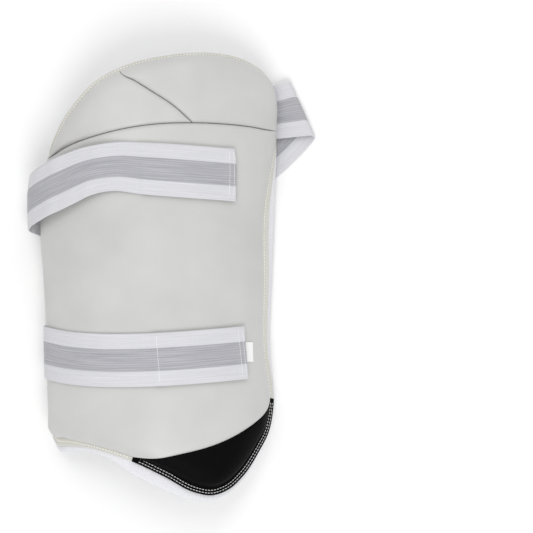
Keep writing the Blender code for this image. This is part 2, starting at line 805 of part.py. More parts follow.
def wrapped(name, wrap, far, table, width, thickness, finish):
    """A flat band that follows a wrap, as a solid."""
    outer, inner = (band(wrap, far, table, width, 4, out) for out in (thickness / 2, -thickness / 2))
    return solid(name, outer, inner, finish)


def both_sides(middle, thickness):
    """The outer and the inner surface of a flat band, from its middle surface."""
    normal = np.cross(np.gradient(middle, axis=0), np.gradient(middle, axis=1))
    normal /= np.linalg.norm(normal, axis=-1, keepdims=True)
    return middle - normal * thickness / 2, middle + normal * thickness / 2


def eased(value, start, end):
    """0 before start, 1 after end and a smooth rise between them."""
    t = np.clip((value - start) / (end - start), 0, 1)
    return t * t * (3 - 2 * t)


def moved_out(path, by):
    """A path moved outwards, square to itself."""
    way = np.gradient(path, axis=0)
    way /= np.linalg.norm(way, axis=1, keepdims=True) + 1e-12
    return path + np.stack([way[:, 1], -way[:, 0]], axis=1) * by[:, None]


def dense(path, step=0.001):
    """A path with a point every step."""
    count = int(span(path) / step) + 1
    return resample(path, np.linspace(0, 1, count))


def over_patch(path):
    """A strap's path, lifted by the hook patch under its right end."""
    path = dense(path)
    patch_end = PATCH_INSET + PATCH_LENGTH + PATCH_CLEAR
    lift = 1 - eased(lengths(path), patch_end, patch_end + PATCH_SLOPE)
    return moved_out(path, lift * (PATCH_THICKNESS + GAP - STRAP_EASE))


def over_patch_and_slack(path):
    """The upper strap's path, which also stands off the face towards the left edge."""
    path = over_patch(path)
    far = lengths(path)
    foot = left_foot(path)
    rise = eased(far, SLACK_FROM * foot, 0.80 * foot) * (1 - eased(far, 0.90 * foot, foot))
    path = moved_out(path, rise * STRAP_SLACK)
    path[:, 1] = np.maximum(path[:, 1], STRAP_LEVEL)
    return path


def under_liner(along, inward, clear):
    """Points below the liner's right edge, inward metres from it."""
    across = side_rim(along, TOE_RIGHT - EDGE.total, EDGE.place("shoulder")) - inward
    flat_points = np.stack(np.broadcast_arrays(across, np.asarray(along, float)), axis=-1)
    below = -liner_thickness(flat_points) - clear
    return lifted(flat_points[..., 0], flat_points[..., 1], below)


def sewn_tail(path, along):
    """The lower strap's path, ended by the fold that turns it up on to the liner's back."""
    clear = STRAP_CLEAR
    level = STRAP_LEVEL
    inward = np.linspace(SEWN_INSET, SEWN_INSET + SEWN_LENGTH, 16)
    back = under_liner(np.full(16, along), inward, clear)[:, (0, 2)]
    way = back[1] - back[0]
    way /= np.linalg.norm(way)
    square = np.array([way[1], -way[0]])
    reach = square @ back[0] - FOLD_RADIUS
    centre = np.array([(reach - square[1] * (level + FOLD_RADIUS)) / square[0], level + FOLD_RADIUS])
    turn = np.linspace(-math.pi / 2, math.atan2(square[1], square[0]), 9)
    fold = centre + FOLD_RADIUS * np.stack([np.cos(turn), np.sin(turn)], axis=1)
    on = back[(back - fold[-1]) @ way > BAND_END]
    floor = (path[:, 0] < centre[0]) | (path[:, 1] > level + 1e-4)
    kept = path[: len(floor) if floor.all() else int(np.argmin(floor))]
    return np.vstack([kept, fold, on])


def lower_strap(finish, hook, label):
    """The lower strap, its hook patch and the size tag under its end."""
    rows = np.array(LOWER_STRAP)
    centre = float(np.mean(rows[:, 1])) * PAD_LENGTH
    end = flat((LOWER_STRAP_END, rows[0, 1]))[0]
    wrap = Wrap(centre, STRAP_WIDTH, end, STRAP_CLEAR, over_patch, sewn_tail)
    whole = min(far[-1] for far in wrap.far) - BAND_END
    far = round_foot(wrap, 56, wrap.paths[len(wrap.paths) // 2], whole)
    wrapped("lower_strap", wrap, far, LOWER_STRAP, STRAP_WIDTH, STRAP_THICKNESS, finish)
    hook_patch("lower_hook_patch", centre, end, LOWER_STRAP, wrap.foot, hook)
    size_tag(end, label)


def hook_patch(name, centre, end, table, foot, finish):
    """The hook patch between a strap's right end and the face."""
    wrap = Wrap(centre, STRAP_WIDTH, end, GAP + PATCH_THICKNESS / 2)
    far = np.linspace(PATCH_INSET, PATCH_INSET + PATCH_LENGTH, 11) * wrap.foot / foot
    wrapped(name, wrap, far, table, PATCH_WIDTH, PATCH_THICKNESS, finish)


def size_tag(end, finish):
    """The bare tag at the right end of the lower strap, tucked under it."""
    along = LOWER_STRAP[0][1] * PAD_LENGTH
    far = np.linspace(end - TAG_TUCK, end - TAG_TUCK + TAG_LENGTH, 3)
    up = np.linspace(along - TAG_WIDTH / 2, along + TAG_WIDTH / 2, 3)
    across, alongs = np.meshgrid(far, up, indexing="ij")
    heights = face_height(np.stack([across, alongs], axis=-1))
    top = lifted(across, alongs, heights + GAP + TAG_THICKNESS)
    solid("size_tag", top, lifted(across, alongs, heights + GAP), finish)


def heading(degrees):
    """A flat direction as a vector."""
    angle = math.radians(degrees)
    return np.array([math.cos(angle), math.sin(angle), 0.0])


def across_lines(centres, directions, half, lines):
    """Sections of a band: points at even steps along a direction through each centre."""
    steps = np.linspace(-1, 1, lines)[None, :, None]
    return centres[:, None] + steps * half[:, None, None] * directions[:, None]


def underside(start, way, fold, lines):
    """The upper strap on the floor, from the left edge to the loop's fold."""
    ease = UNDERSIDE_EASE * np.linalg.norm(fold - start)
    end_way = heading(LOOP_HEADING)
    t = np.linspace(0, 1, 15)[:, None]
    one, two = start + way * ease, fold - end_way * ease
    centres = ((1 - t) ** 3 * start + 3 * (1 - t) ** 2 * t * one
               + 3 * (1 - t) * t * t * two + t ** 3 * fold)
    ways = np.gradient(centres, axis=0)
    ways /= np.linalg.norm(ways, axis=1, keepdims=True)
    square = np.stack([-ways[:, 1], ways[:, 0], np.zeros(len(ways))], axis=1)
    fan = eased(np.linspace(0, 1, 15), 0.72, 1.0)[:, None]
    directions = square * (1 - fan) + heading(LOOP_AXIS) * fan
    directions /= np.linalg.norm(directions, axis=1, keepdims=True)
    half = STRAP_WIDTH / 2 / np.sum(directions * square, axis=1)
    return across_lines(centres, directions, half, lines)


def loop_fold(flat_line):
    """The free fold at the right: the last flat section turned over about the fold's axis."""
    out = heading(LOOP_AXIS - 90)
    axis = heading(LOOP_AXIS)
    drift = LOOP_RADIUS * math.tan(math.radians(LOOP_AXIS - 90 - LOOP_HEADING))
    sections = []
    for turn in np.linspace(0, math.pi, 8)[1:]:
        shift = out * LOOP_RADIUS * math.sin(turn) - axis * drift * turn
        shift = shift + np.array([0, 0, LOOP_RADIUS * (1 - math.cos(turn))])
        sections.append(flat_line + shift)
    return np.array(sections)


def sewn_return(line, lines):
    """The stretch from the loop back under the pad's right edge, up on to the liner's back."""
    along = SEWN_ALONG * PAD_LENGTH + np.linspace(-0.5, 0.5, lines) * STRAP_WIDTH
    clear = STRAP_CLEAR
    corner = under_liner(along, np.zeros(lines), 0.0)
    square = under_liner(along, np.zeros(lines), 1.0) - corner
    below = corner + np.array([0, 0, -clear])
    free = [line * (1 - t) + below * t for t in np.linspace(0, 1, 6)[1:]]
    tilt = np.arctan2(-square[:, 0], -square[:, 2])
    bend = []
    for share in (0.33, 0.66, 1.0):
        aside = np.stack([-np.sin(tilt * share), np.zeros(lines), -np.cos(tilt * share)], axis=1)
        bend.append(corner + aside * clear)
    back = [under_liner(along, np.full(lines, inward), clear)
            for inward in np.linspace(0, SEWN_LENGTH, 7)[1:]]
    return np.array(free + bend + back)


def upper_strap(finish, hook):
    """The upper strap, with its loose bend at the left and its loop at the right, and its patch."""
    rows = np.array(UPPER_STRAP)
    centre = float(rows[0, 1] + rows[-1, 1]) / 2 * PAD_LENGTH
    reach = 2 * abs(float(rows[:, 1].max() - rows[:, 1].min())) * PAD_LENGTH + STRAP_WIDTH
    end = flat((UPPER_STRAP_END, rows[0, 1]))[0]
    lines = 5
    wrap = Wrap(centre, reach, end, STRAP_CLEAR, over_patch_and_slack)
    whole = wrap.foot + STRAP_WIDTH / 3
    path = wrap.paths[len(wrap.paths) // 2]
    far = round_foot(wrap, 38, path[lengths(path) < whole], whole)
    half = STRAP_THICKNESS / 2
    front, outer, inner = (band(wrap, far, UPPER_STRAP, STRAP_WIDTH, lines, out)
                           for out in (0.0, half, -half))
    middle = lines // 2
    way = front[-1, middle] - front[-2, middle]
    way /= np.linalg.norm(way)
    fold = np.array([LOOP_ACROSS * PAD_WIDTH, LOOP_ALONG * PAD_LENGTH, STRAP_LEVEL])
    below = underside(front[-1, middle], way, fold, lines)
    loop = loop_fold(below[-1])
    back = sewn_return(loop[-1], lines)
    rest = both_sides(np.vstack([front[-1:], below[1:], loop, back]), STRAP_THICKNESS)
    outer = np.vstack([outer, rest[0][1:]])
    inner = np.vstack([inner, rest[1][1:]])
    solid("upper_strap", outer, inner, finish)
    hook_patch("upper_hook_patch", centre, end, UPPER_STRAP, wrap.foot, hook)


# The whole pad

def centred():
    """Moves every piece so that the pad stands on the floor over the origin."""
    meshes = [item.data for item in bpy.context.scene.collection.objects if item.type == "MESH"]
    points = np.array([vert.co[:] for mesh in meshes for vert in mesh.vertices])
    low, high = points.min(axis=0), points.max(axis=0)
    shift = np.array([-(low[0] + high[0]) / 2, -(low[1] + high[1]) / 2, -low[2]])
    for mesh in meshes:
        for vert in mesh.vertices:
            vert.co = [c + s for c, s in zip(vert.co, shift)]


def main():
    """Clears the scene and builds the pad."""
    for item in list(bpy.data.objects):
        bpy.data.objects.remove(item)
    face = material("face", FACE_COLOUR, 0.5)
    webbing_finish = material("webbing", STRAP_COLOUR, 0.8)
    hook = material("hook", HOOK_COLOUR, 0.7)
    back_liner(material("towelling", LINER_COLOUR, 0.95))
    edge_binding(material("flange", FLANGE_COLOUR, 0.55))
    main_pad(face)
    hip_pads(face)
    toe_pad(material("toe", TOE_COLOUR, 0.5))
    lower_strap(webbing_finish, hook, material("label", TAG_COLOUR, 0.7))
    upper_strap(webbing_finish, hook)
    centred()


main()
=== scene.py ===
"""Looks of an outer thigh pad for batting, lying on its back with its elastic straps closed.

Each sub-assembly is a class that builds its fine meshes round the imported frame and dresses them.
The pad is worked out on its flattened surface, in metres across and along, and bent over an arch.
"""

import logging
import math
from dataclasses import dataclass, field
from enum import Enum
from functools import cache
from typing import Callable, Iterable, Optional, Sequence

import bmesh
import bpy
import numpy as np
from mathutils import Matrix, Vector


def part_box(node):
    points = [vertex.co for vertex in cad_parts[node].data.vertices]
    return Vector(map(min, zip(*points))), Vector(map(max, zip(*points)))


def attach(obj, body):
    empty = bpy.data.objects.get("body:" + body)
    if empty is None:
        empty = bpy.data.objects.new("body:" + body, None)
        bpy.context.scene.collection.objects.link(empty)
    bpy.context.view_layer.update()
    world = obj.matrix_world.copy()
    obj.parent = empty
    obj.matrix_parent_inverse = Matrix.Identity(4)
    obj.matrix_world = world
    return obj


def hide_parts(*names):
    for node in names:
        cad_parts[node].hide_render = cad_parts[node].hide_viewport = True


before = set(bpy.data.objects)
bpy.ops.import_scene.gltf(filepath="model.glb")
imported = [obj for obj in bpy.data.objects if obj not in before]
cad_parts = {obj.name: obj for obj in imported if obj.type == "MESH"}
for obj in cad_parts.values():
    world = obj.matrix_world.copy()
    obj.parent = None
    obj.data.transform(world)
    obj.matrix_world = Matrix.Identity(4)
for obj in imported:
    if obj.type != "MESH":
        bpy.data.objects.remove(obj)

log = logging.getLogger("thigh_pad")

Points = np.ndarray
Grid = np.ndarray
Piece = bpy.types.Object
Tree = bpy.types.NodeTree
Node = bpy.types.Node

# Driving sizes
PAD_LENGTH = 0.429
PAD_WIDTH = 0.222
ARCH_HEIGHT = 0.060
ARCH_RADIUS = 0.125
ARCH_SKEW = 0.055
FACE_THICKNESS = 0.016
FACE_EDGE = 0.0040
EDGE_ROLL = 0.020
GROOVE_DEPTH = 0.0045
GROOVE_ROLL = 0.0055
FLANGE_WIDTH = 0.0080
FLANGE_THICKNESS = 0.0024
RIM_WIDTH = 0.011
LINER_THICKNESS = 0.0070
LINER_EDGE = 0.0045
LINER_TAPER = 0.020
STRAP_WIDTH = 0.050
STRAP_THICKNESS = 0.0018
STRAP_SLACK = 0.009
PATCH_LENGTH = 0.082
PATCH_WIDTH = 0.046
PATCH_THICKNESS = 0.0016
PATCH_INSET = 0.004
PATCH_CLEAR = 0.004
PATCH_SLOPE = 0.006
SEWN_LENGTH = 0.030
SEWN_INSET = 0.006
FOLD_RADIUS = 0.0035
LOOP_RADIUS = 0.0032
TAG_WIDTH = 0.0195
TAG_LENGTH = 0.0095
TAG_THICKNESS = 0.0006
TAG_TUCK = 0.0010
GAP = 0.0003
SEAM_GAP = 0.0004
FACE_SEAT = 0.0005
STRAP_EASE = 0.0005

# How finely bands are cut: how far a band's ends stay within its path, the first stops from its
# end, the step round the left edge and how far it goes on before and after the place where the
# band meets the floor, the step of a path, and the points over the pad at a section, those of them
# that are also read below the liner, those on the sewn end and those on its fold
BAND_END = 0.001
HEAD_STOPS = (0.0002, 0.0005, 0.0009)
FOOT_STEP = 0.0006
FOOT_BEFORE = 0.016
FOOT_AFTER = 0.005
PATH_STEP = 0.0003
SECTION_POINTS = 160
SECTION_UNDER = 12
TAIL_POINTS = 40
FOLD_POINTS = 25

# Sections along the pad, from the toe to the hip end: along, left, right and crown. "along" is a
# share of PAD_LENGTH from the middle, "left" and "right" are where the arch would meet the floor,
# as shares of PAD_WIDTH from the middle, and "crown" is the arch's height there as a share of
# ARCH_HEIGHT.
SECTIONS = (
    (-0.502, -0.509, 0.455, 0.93),
    (-0.275, -0.516, 0.455, 1.00),
    (-0.152, -0.518, 0.434, 1.00),
    (0.000, -0.536, 0.446, 1.00),
    (0.155, -0.554, 0.461, 1.00),
    (0.256, -0.568, 0.477, 1.00),
    (0.372, -0.640, 0.482, 0.97),
    (0.502, -0.698, 0.504, 0.87),
)

# Edge of the face, counterclockwise from the right tip of the toe: name, across, along, flange and
# rim. "across" goes from -1 on the left floor line over 0 on the crown line to 1 on the right
# floor line, along the arch, and "along" is a share of PAD_LENGTH from the middle. "flange" is how
# wide the stitched flange is there, as a share of FLANGE_WIDTH, and "rim" how far the liner stands
# out beyond it, as a share of RIM_WIDTH.
OUTLINE = (
    ("toe_right", 0.957, -0.272, 1.10, 0.40),
    ("", 0.950, -0.170, 1.30, 0.60),
    ("", 0.932, -0.005, 1.42, 0.76),
    ("", 0.905, 0.153, 1.36, 1.00),
    ("", 0.915, 0.222, 1.10, 0.68),
    ("groove_right", 0.937, 0.330, 0.45, 0.25),
    ("", 0.934, 0.388, 0.33, 0.20),
    ("shoulder", 0.897, 0.430, 0.33, 0.14),
    ("", 0.812, 0.462, 0.35, 0.12),
    ("", 0.700, 0.484, 0.36, 0.12),
    ("", 0.591, 0.4955, 0.36, 0.12),
    ("", 0.440, 0.5010, 0.36, 0.12),
    ("", 0.230, 0.4945, 0.36, 0.12),
    ("dome_left", -0.100, 0.4625, 0.42, 0.12),
    ("", -0.270, 0.4325, 0.50, 0.12),
    ("hip_middle", -0.436, 0.3860, 0.60, 0.12),
    ("", -0.640, 0.3260, 0.65, 0.12),
    ("groove_left", -0.820, 0.2730, 0.70, 0.14),
    ("", -0.925, 0.2200, 0.80, 0.16),
    ("", -0.970, 0.1300, 0.85, 0.16),
    ("", -0.972, -0.0800, 0.85, 0.16),
    ("", -0.972, -0.2900, 1.00, 0.18),
    ("corner_left", -0.970, -0.3550, 1.20, 0.42),
    ("", -0.892, -0.3735, 1.10, 0.50),
    ("", -0.698, -0.3765, 0.85, 0.45),
    ("", -0.521, -0.3790, 0.50, 0.36),
    ("", -0.351, -0.3890, 0.45, 0.45),
    ("toe_left", -0.145, -0.4085, 0.50, 0.95),
    ("", 0.090, -0.4420, 0.70, 1.05),
    ("", 0.300, -0.4775, 0.80, 0.70),
    ("", 0.420, -0.4845, 0.85, 0.56),
    ("", 0.544, -0.4730, 0.90, 0.42),
    ("", 0.672, -0.4410, 0.95, 0.40),
    ("", 0.810, -0.3860, 1.00, 0.35),
    ("", 0.887, -0.3510, 1.00, 0.27),
)

# Inner points of the grooves between the cushions, in the same shares, from left to right. Each
# groove starts and ends on the edge of the cushions, or on another groove.
FLEX_GROOVE = (
    (-0.651, 0.276),
    (-0.551, 0.289),
    (-0.424, 0.301),
    (-0.307, 0.310),
    (-0.108, 0.323),
    (0.062, 0.331),
    (0.312, 0.336),
    (0.484, 0.336),
    (0.664, 0.334),
    (0.838, 0.330),
)
HIP_GROOVE = (
    (-0.080, 0.445),
    (0.002, 0.427),
    (0.085, 0.405),
    (0.207, 0.372),
)
HIP_GROOVE_FOOT = 0.306
TOE_SEAM = (
    (0.027, -0.401),
    (0.222, -0.389),
    (0.401, -0.373),
    (0.581, -0.348),
    (0.727, -0.320),
    (0.840, -0.291),
)
TOE_SEAM_DEPTH = 0.5

# Centre line of each strap round the face and the left edge: "share" goes from its right end,
# which lies at its END across, to where it meets the floor at the left, and "along" is a share of
# PAD_LENGTH.
LOWER_STRAP_END = 0.648
LOWER_STRAP = (
    (0.00, -0.169),
    (0.15, -0.177),
    (0.28, -0.183),
    (0.42, -0.187),
    (0.57, -0.187),
    (0.71, -0.181),
    (0.85, -0.169),
    (1.00, -0.160),
)
UPPER_STRAP_END = 0.548
UPPER_STRAP = (
    (0.00, 0.223),
    (0.12, 0.226),
    (0.33, 0.233),
    (0.45, 0.238),
    (0.55, 0.229),
    (0.66, 0.205),
    (0.79, 0.179),
    (1.00, 0.150),
)
SLACK_FROM = 0.36

# The loop of the upper strap that stands out at the right: where its fold lies, as shares of
# PAD_WIDTH and PAD_LENGTH, and how the strap and the fold's axis head, in degrees from +X.
LOOP_ACROSS = 0.565
LOOP_ALONG = 0.375
LOOP_HEADING = 54.0
LOOP_AXIS = 114.0
UNDERSIDE_EASE = 0.38
SEWN_ALONG = 0.376

# Details that only show on the fine meshes: the creases and waves of the face, the liner's rim,
# hems and threads. SOFT_WAVES holds the height, the waves across and along and the start of each
# wave.
CREASE_DEPTH = 0.0008
CREASE_REACH = 0.0011
SOFT_WAVE = 0.00035
SOFT_WAVES = ((1.0, 61, 17, 0.6), (1.0, -29, 47, 2.1), (0.6, 103, -71, 4.0))
RIGHT_ROLL = 0.55
RIGHT_ROLL_OVER = (0.25, 0.46)
RIM_ROLL = 0.0032
RIM_DROP = 0.0016
HEM_LENGTH = 0.0105
HEM_STEP = 0.0007
STRAP_RIPPLE = 0.0010
CUP_NARROW = 0.09
CUP_RISE = 0.0032
THREAD_WIDTH = 0.00065
FLANGE_THREAD = 0.00130
THREAD_RISE = 0.62
FLANGE_STITCH = 0.0031
TOE_STITCH = 0.0030
STRAP_STITCH = 0.0021
STITCH_SHARE = 0.40
STITCH_REACH = 0.3
STITCH_LIFT = 0.1
SHARP_ANGLE = math.radians(38)
CORNER_STEP = math.radians(6)

# How finely curves are read: points handled at a time, the reach of a slope on the surface and on
# the edge, and points on a groove, on the edge's whole way round and on one side of it
BLOCK = 3000
SURFACE_REACH = 0.0002
EDGE_REACH = 0.002
GROOVE_POINTS = 80
EDGE_POINTS = 420
SIDE_POINTS = 300

# Straps: where the slack is full and where it ends and where the strap cups, as shares of the way
# to its foot, how its borders, ends and hem are rounded, where its hem is sewn and how far across,
# how its ripples run and begin, and where it starts to fan out to the loop's fold
SLACK_FULL = 0.80
SLACK_UNTIL = 0.90
CUP_AT = 0.5
CUP_SPREAD = 0.13
STRAP_BORDER = 0.0012
END_ROUND = 0.0010
HEM_SLOPE = 0.0016
HEM_SEAMS = (0.0035, 0.0080)
SEAM_REACH = 0.44
RIPPLE_ALONG = 150
RIPPLE_ACROSS = 70
RIPPLE_RISE = (0.10, 0.15)
FAN_FROM = 0.72

# The photograph's view: how far off the camera stands, how high over the floor's level it looks
# from and how wide the picture is at that distance
CAMERA_AWAY = 2.2
CAMERA_ELEVATION = 87.0
PICTURE_WIDTH = 0.50635
LOOK_AT = (0.0922, 0.0090, 0.0600)
SENSOR = 36.0

# The studio's soft lights: name, place and breadth in metres, and watts
LIGHTS = (
    ("key_light", (0.05, -1.0, 1.45), 1.1, 11.5),
    ("fill_light", (-0.25, 0.7, 1.45), 1.2, 5.5),
    ("rim_light", (0.5, 1.4, 1.0), 0.9, 3.5),
)


def smooth(xs: Sequence[float], ys: Sequence[float], x: Points) -> Points:
    """Reads a smooth curve through a few points.

    Args:
        xs: Rising places of the points.
        ys: Values there.
        x: Places to read.

    Returns:
        The curve's values at x.
    """
    xs, ys = np.asarray(xs, float), np.asarray(ys, float)
    step = np.diff(xs)
    rise = np.diff(ys) / step
    inner = (rise[:-1] * step[1:] + rise[1:] * step[:-1]) / (step[1:] + step[:-1])
    slope = np.concatenate([rise[:1], inner, rise[-1:]])
    x = np.clip(x, xs[0], xs[-1])
    i = np.clip(np.searchsorted(xs, x) - 1, 0, len(xs) - 2)
    h = step[i]
    t = (x - xs[i]) / h
    start = ys[i] * (1 + 2 * t) * (1 - t) ** 2 + h * slope[i] * t * (1 - t) ** 2
    end = ys[i + 1] * t * t * (3 - 2 * t) + h * slope[i + 1] * t * t * (t - 1)
    return start + end


def lengths(points: Points) -> Points:
    """How far along a polyline each of its points lies."""
    steps = np.linalg.norm(np.diff(points, axis=0), axis=1)
    return np.concatenate(([0.0], np.cumsum(steps)))


def span(line: Points) -> float:
    """Length of a polyline."""
    return float(lengths(line)[-1])


def resample(points: Points, at: Points) -> Points:
    """Reads a polyline at shares of its length, from 0 to 1."""
    far = lengths(points) / span(points)
    return np.stack([np.interp(at, far, points[:, k]) for k in range(points.shape[1])], axis=1)


def through(rows: Points, count: int) -> Points:
    """Draws a smooth curve through a few points.

    Args:
        rows: The points.
        count: How many points the curve gets.

    Returns:
        The curve as a polyline.
    """
    knots = lengths(rows)
    at = np.linspace(0.0, knots[-1], count)
    return np.stack([smooth(knots, rows[:, k], at) for k in range(rows.shape[1])], axis=1)


def eased(value: Points, start: float, end: float) -> Points:
    """0 before start, 1 after end and a smooth rise between them."""
    t = np.clip((value - start) / (end - start), 0, 1)
    return t * t * (3 - 2 * t)


def quarter_round(share: Points) -> Points:
    """Height of a quarter round from 0 at its foot to 1 where it levels out."""
    return np.sqrt(1 - (1 - np.clip(share, 0, 1)) ** 2)


def distance(points: Points, line: Points) -> Points:
    """Measures how far flat points lie from a polyline.

    Args:
        points: Rows of two numbers.
        line: The polyline.

    Returns:
        One distance for each point.
    """
    start = line[None, :-1]
    way = line[None, 1:] - start
    square = np.maximum(np.sum(way * way, axis=2), 1e-18)
    found = []
    for block in np.array_split(points, max(1, len(points) // BLOCK)):
        block = block[:, None]
        share = np.clip(np.sum((block - start) * way, axis=2) / square, 0, 1)
        near = start + way * share[..., None]
        found.append(np.sqrt(np.min(np.sum((block - near) ** 2, axis=2), axis=1)))
    return np.concatenate(found)


def inside(points: Points, loop: Points) -> Points:
    """Tells which flat points lie inside a closed polyline.

    Args:
        points: Rows of two numbers.
        loop: The closed polyline.

    Returns:
        True or False for each point.
    """
    x0, y0 = loop[:-1, 0][None], loop[:-1, 1][None]
    x1, y1 = loop[1:, 0][None], loop[1:, 1][None]
    rise = np.where(y1 == y0, 1e-12, y1 - y0)
    found = []
    for block in np.array_split(points, max(1, len(points) // BLOCK)):
        x, y = block[:, 0][:, None], block[:, 1][:, None]
        crosses = ((y0 > y) != (y1 > y)) & (x < x0 + (x1 - x0) * (y - y0) / rise)
        found.append(np.sum(crosses, axis=1) % 2 == 1)
    return np.concatenate(found)


def heading(degrees: float) -> Points:
    """A flat direction as a vector."""
    angle = math.radians(degrees)
    return np.array([math.cos(angle), math.sin(angle), 0.0])


def unit(vectors: Points) -> Points:
    """Vectors made 1 long."""
    return vectors / np.linalg.norm(vectors, axis=-1, keepdims=True)


def turned_left(ways: Points) -> Points:
    """Flat directions after a quarter turn to the left."""
    return np.stack([-ways[..., 1], ways[..., 0]], axis=-1)


# The pad's surface


@dataclass
class Arch:
    """The arched surface between the liner and the face."""

    radius: float = ARCH_RADIUS
    skew: float = ARCH_SKEW
    height: float = ARCH_HEIGHT
    tilts: Points = field(default_factory=lambda: np.linspace(-math.pi / 2, math.pi / 2, 1441))

    def __post_init__(self) -> None:
        """Works out where the arch meets the floor line and how long it is."""
        left = self.tilts <= 0
        drop = self.drop(self.tilts)
        self.left_tilt = float(np.interp(-self.height, -drop[left], self.tilts[left]))
        self.right_tilt = float(np.interp(self.height, drop[~left], self.tilts[~left]))
        self.left_arc = -float(self.arc(self.left_tilt))
        self.right_arc = float(self.arc(self.right_tilt))
        self.breadth = float(self.reach(self.right_tilt) - self.reach(self.left_tilt))

    def reach(self, tilt: Points) -> Points:
        """How far across the arch has gone from its crown when it has turned by tilt."""
        s = np.sin(tilt)
        return self.radius * s + self.skew / 2 * s * s

    def drop(self, tilt: Points) -> Points:
        """How far the arch has come down from its crown."""
        return self.radius * (1 - np.cos(tilt)) + self.skew * (tilt / 2 - np.sin(2 * tilt) / 4)

    def arc(self, tilt: Points) -> Points:
        """How long the arch is from its crown."""
        return self.radius * tilt + self.skew * (1 - np.cos(tilt))

    def section(self, along: Points) -> tuple[Points, Points, Points]:
        """Reads the section at a place along the pad.

        Args:
            along: Metres from the middle.

        Returns:
            The left and the right floor line and the crown's height.
        """
        places, *columns = np.array(SECTIONS).T
        share = np.asarray(along) / PAD_LENGTH
        left, right, crown = (smooth(places, column, share) for column in columns)
        return left * PAD_WIDTH, right * PAD_WIDTH, crown * ARCH_HEIGHT

    def carrier(self, across: Points, along: Points) -> Points:
        """Bends flat points over the arch.

        Args:
            across: Metres along the arch from the crown.
            along: Metres from the middle.

        Returns:
            Points in space.
        """
        left, right, crown = self.section(along)
        spread = (right - left) / self.breadth
        tilt = np.interp(across / spread, self.arc(self.tilts), self.tilts)
        x = left + spread * (self.reach(tilt) - self.reach(self.left_tilt))
        z = crown * (1 - self.drop(tilt) / self.height)
        return np.stack([x, np.broadcast_to(along, x.shape), z], axis=-1)

    def normal(self, across: Points, along: Points) -> Points:
        """The surface's outward direction at flat points.

        Args:
            across: Metres along the arch from the crown.
            along: Metres from the pad's middle.

        Returns:
            Directions in space.
        """
        step = SURFACE_REACH
        over = self.carrier(across + step, along) - self.carrier(across - step, along)
        up = self.carrier(across, along + step) - self.carrier(across, along - step)
        return unit(np.cross(over, up))

    def raised(self, flat_points: Points, height: Points) -> Points:
        """Points of the flattened pad, bent over the arch and lifted off it, square to it."""
        across, along, height = np.broadcast_arrays(
            flat_points[..., 0], flat_points[..., 1], np.asarray(height, float))
        return self.carrier(across, along) + self.normal(across, along) * height[..., None]

    def flat(self, shares: Sequence) -> Points:
        """Turns shares across and along into metres on the flattened pad.

        Args:
            shares: Pairs of shares.

        Returns:
            Pairs of metres.
        """
        shares = np.asarray(shares, float)
        along = shares[..., 1] * PAD_LENGTH
        left, right, _ = self.section(along)
        arc = np.where(shares[..., 0] < 0, self.left_arc, self.right_arc)
        return np.stack([shares[..., 0] * arc * (right - left) / self.breadth, along], axis=-1)


@dataclass
class Edge:
    """The closed edge of the face on the flattened pad, read in metres of the way round."""

    arch: Arch

    def __post_init__(self) -> None:
        """Lays the named points out."""
        rows = np.array([row[1:] for row in OUTLINE])
        rows[:, :2] = self.arch.flat(rows[:, :2])
        closed = np.vstack([rows, rows[:1]])
        self.knots = lengths(closed[:, :2])
        self.total = float(self.knots[-1])
        self.columns = dict(zip(("across", "along", "flange", "rim"), closed.T))
        self.names = {row[0]: i for i, row in enumerate(OUTLINE) if row[0]}

    def read(self, column: str, at: Points) -> Points:
        """Reads one column as a smooth closed curve.

        Args:
            column: The column's name.
            at: Metres round the edge.

        Returns:
            Its values.
        """
        lap = 3
        knots = np.concatenate([self.knots[-lap - 1:-1] - self.total, self.knots,
                                self.knots[1:lap + 1] + self.total])
        values = self.columns[column]
        values = np.concatenate([values[-lap - 1:-1], values, values[1:lap + 1]])
        return smooth(knots, values, np.mod(at, self.total))

    def points(self, at: Points) -> Points:
        """Points of the edge on the flattened pad."""
        return np.stack([self.read(name, at) for name in ("across", "along")], axis=-1)

    def place(self, name: str) -> float:
        """How far round the edge a named point lies."""
        return float(self.knots[self.names[name]])

    def flange(self, at: Points) -> Points:
        """Width of the flange."""
        return self.read("flange", at) * FLANGE_WIDTH

    def cushion_depth(self, at: Points) -> Points:
        """How far inside the edge the cushions end."""
        return self.flange(at) + SEAM_GAP

    def rim_depth(self, at: Points) -> Points:
        """How far inside the edge the liner ends: less than nothing, because it stands out."""
        return -self.read("rim", at) * RIM_WIDTH

    def no_depth(self, at: Points) -> Points:
        """The edge itself."""
        return np.zeros_like(at)

    def inset(self, at: Points, depth: Points) -> Points:
        """Points that lie inside the edge by depth, square to it.

        Args:
            at: Metres round the edge.
            depth: Metres inwards.

        Returns:
            Points of the flattened pad.
        """
        at = np.asarray(at, float)
        inward = turned_left(unit(self.points(at + EDGE_REACH) - self.points(at - EDGE_REACH)))
        return self.points(at) + inward * np.broadcast_to(depth, at.shape)[..., None]

    def run(self, start: float, end: float, depth: Callable, count: int = 240) -> Points:
        """Follows the edge from start round to end.

        Args:
            start: Where it begins, in metres round the edge.
            end: Where it stops.
            depth: A function of the place that gives how far inside to stay.
            count: How many points it gets.

        Returns:
            A polyline on the flattened pad.
        """
        if end < start:
            end += self.total
        at = np.linspace(start, end, count)
        return self.inset(at, depth(at))


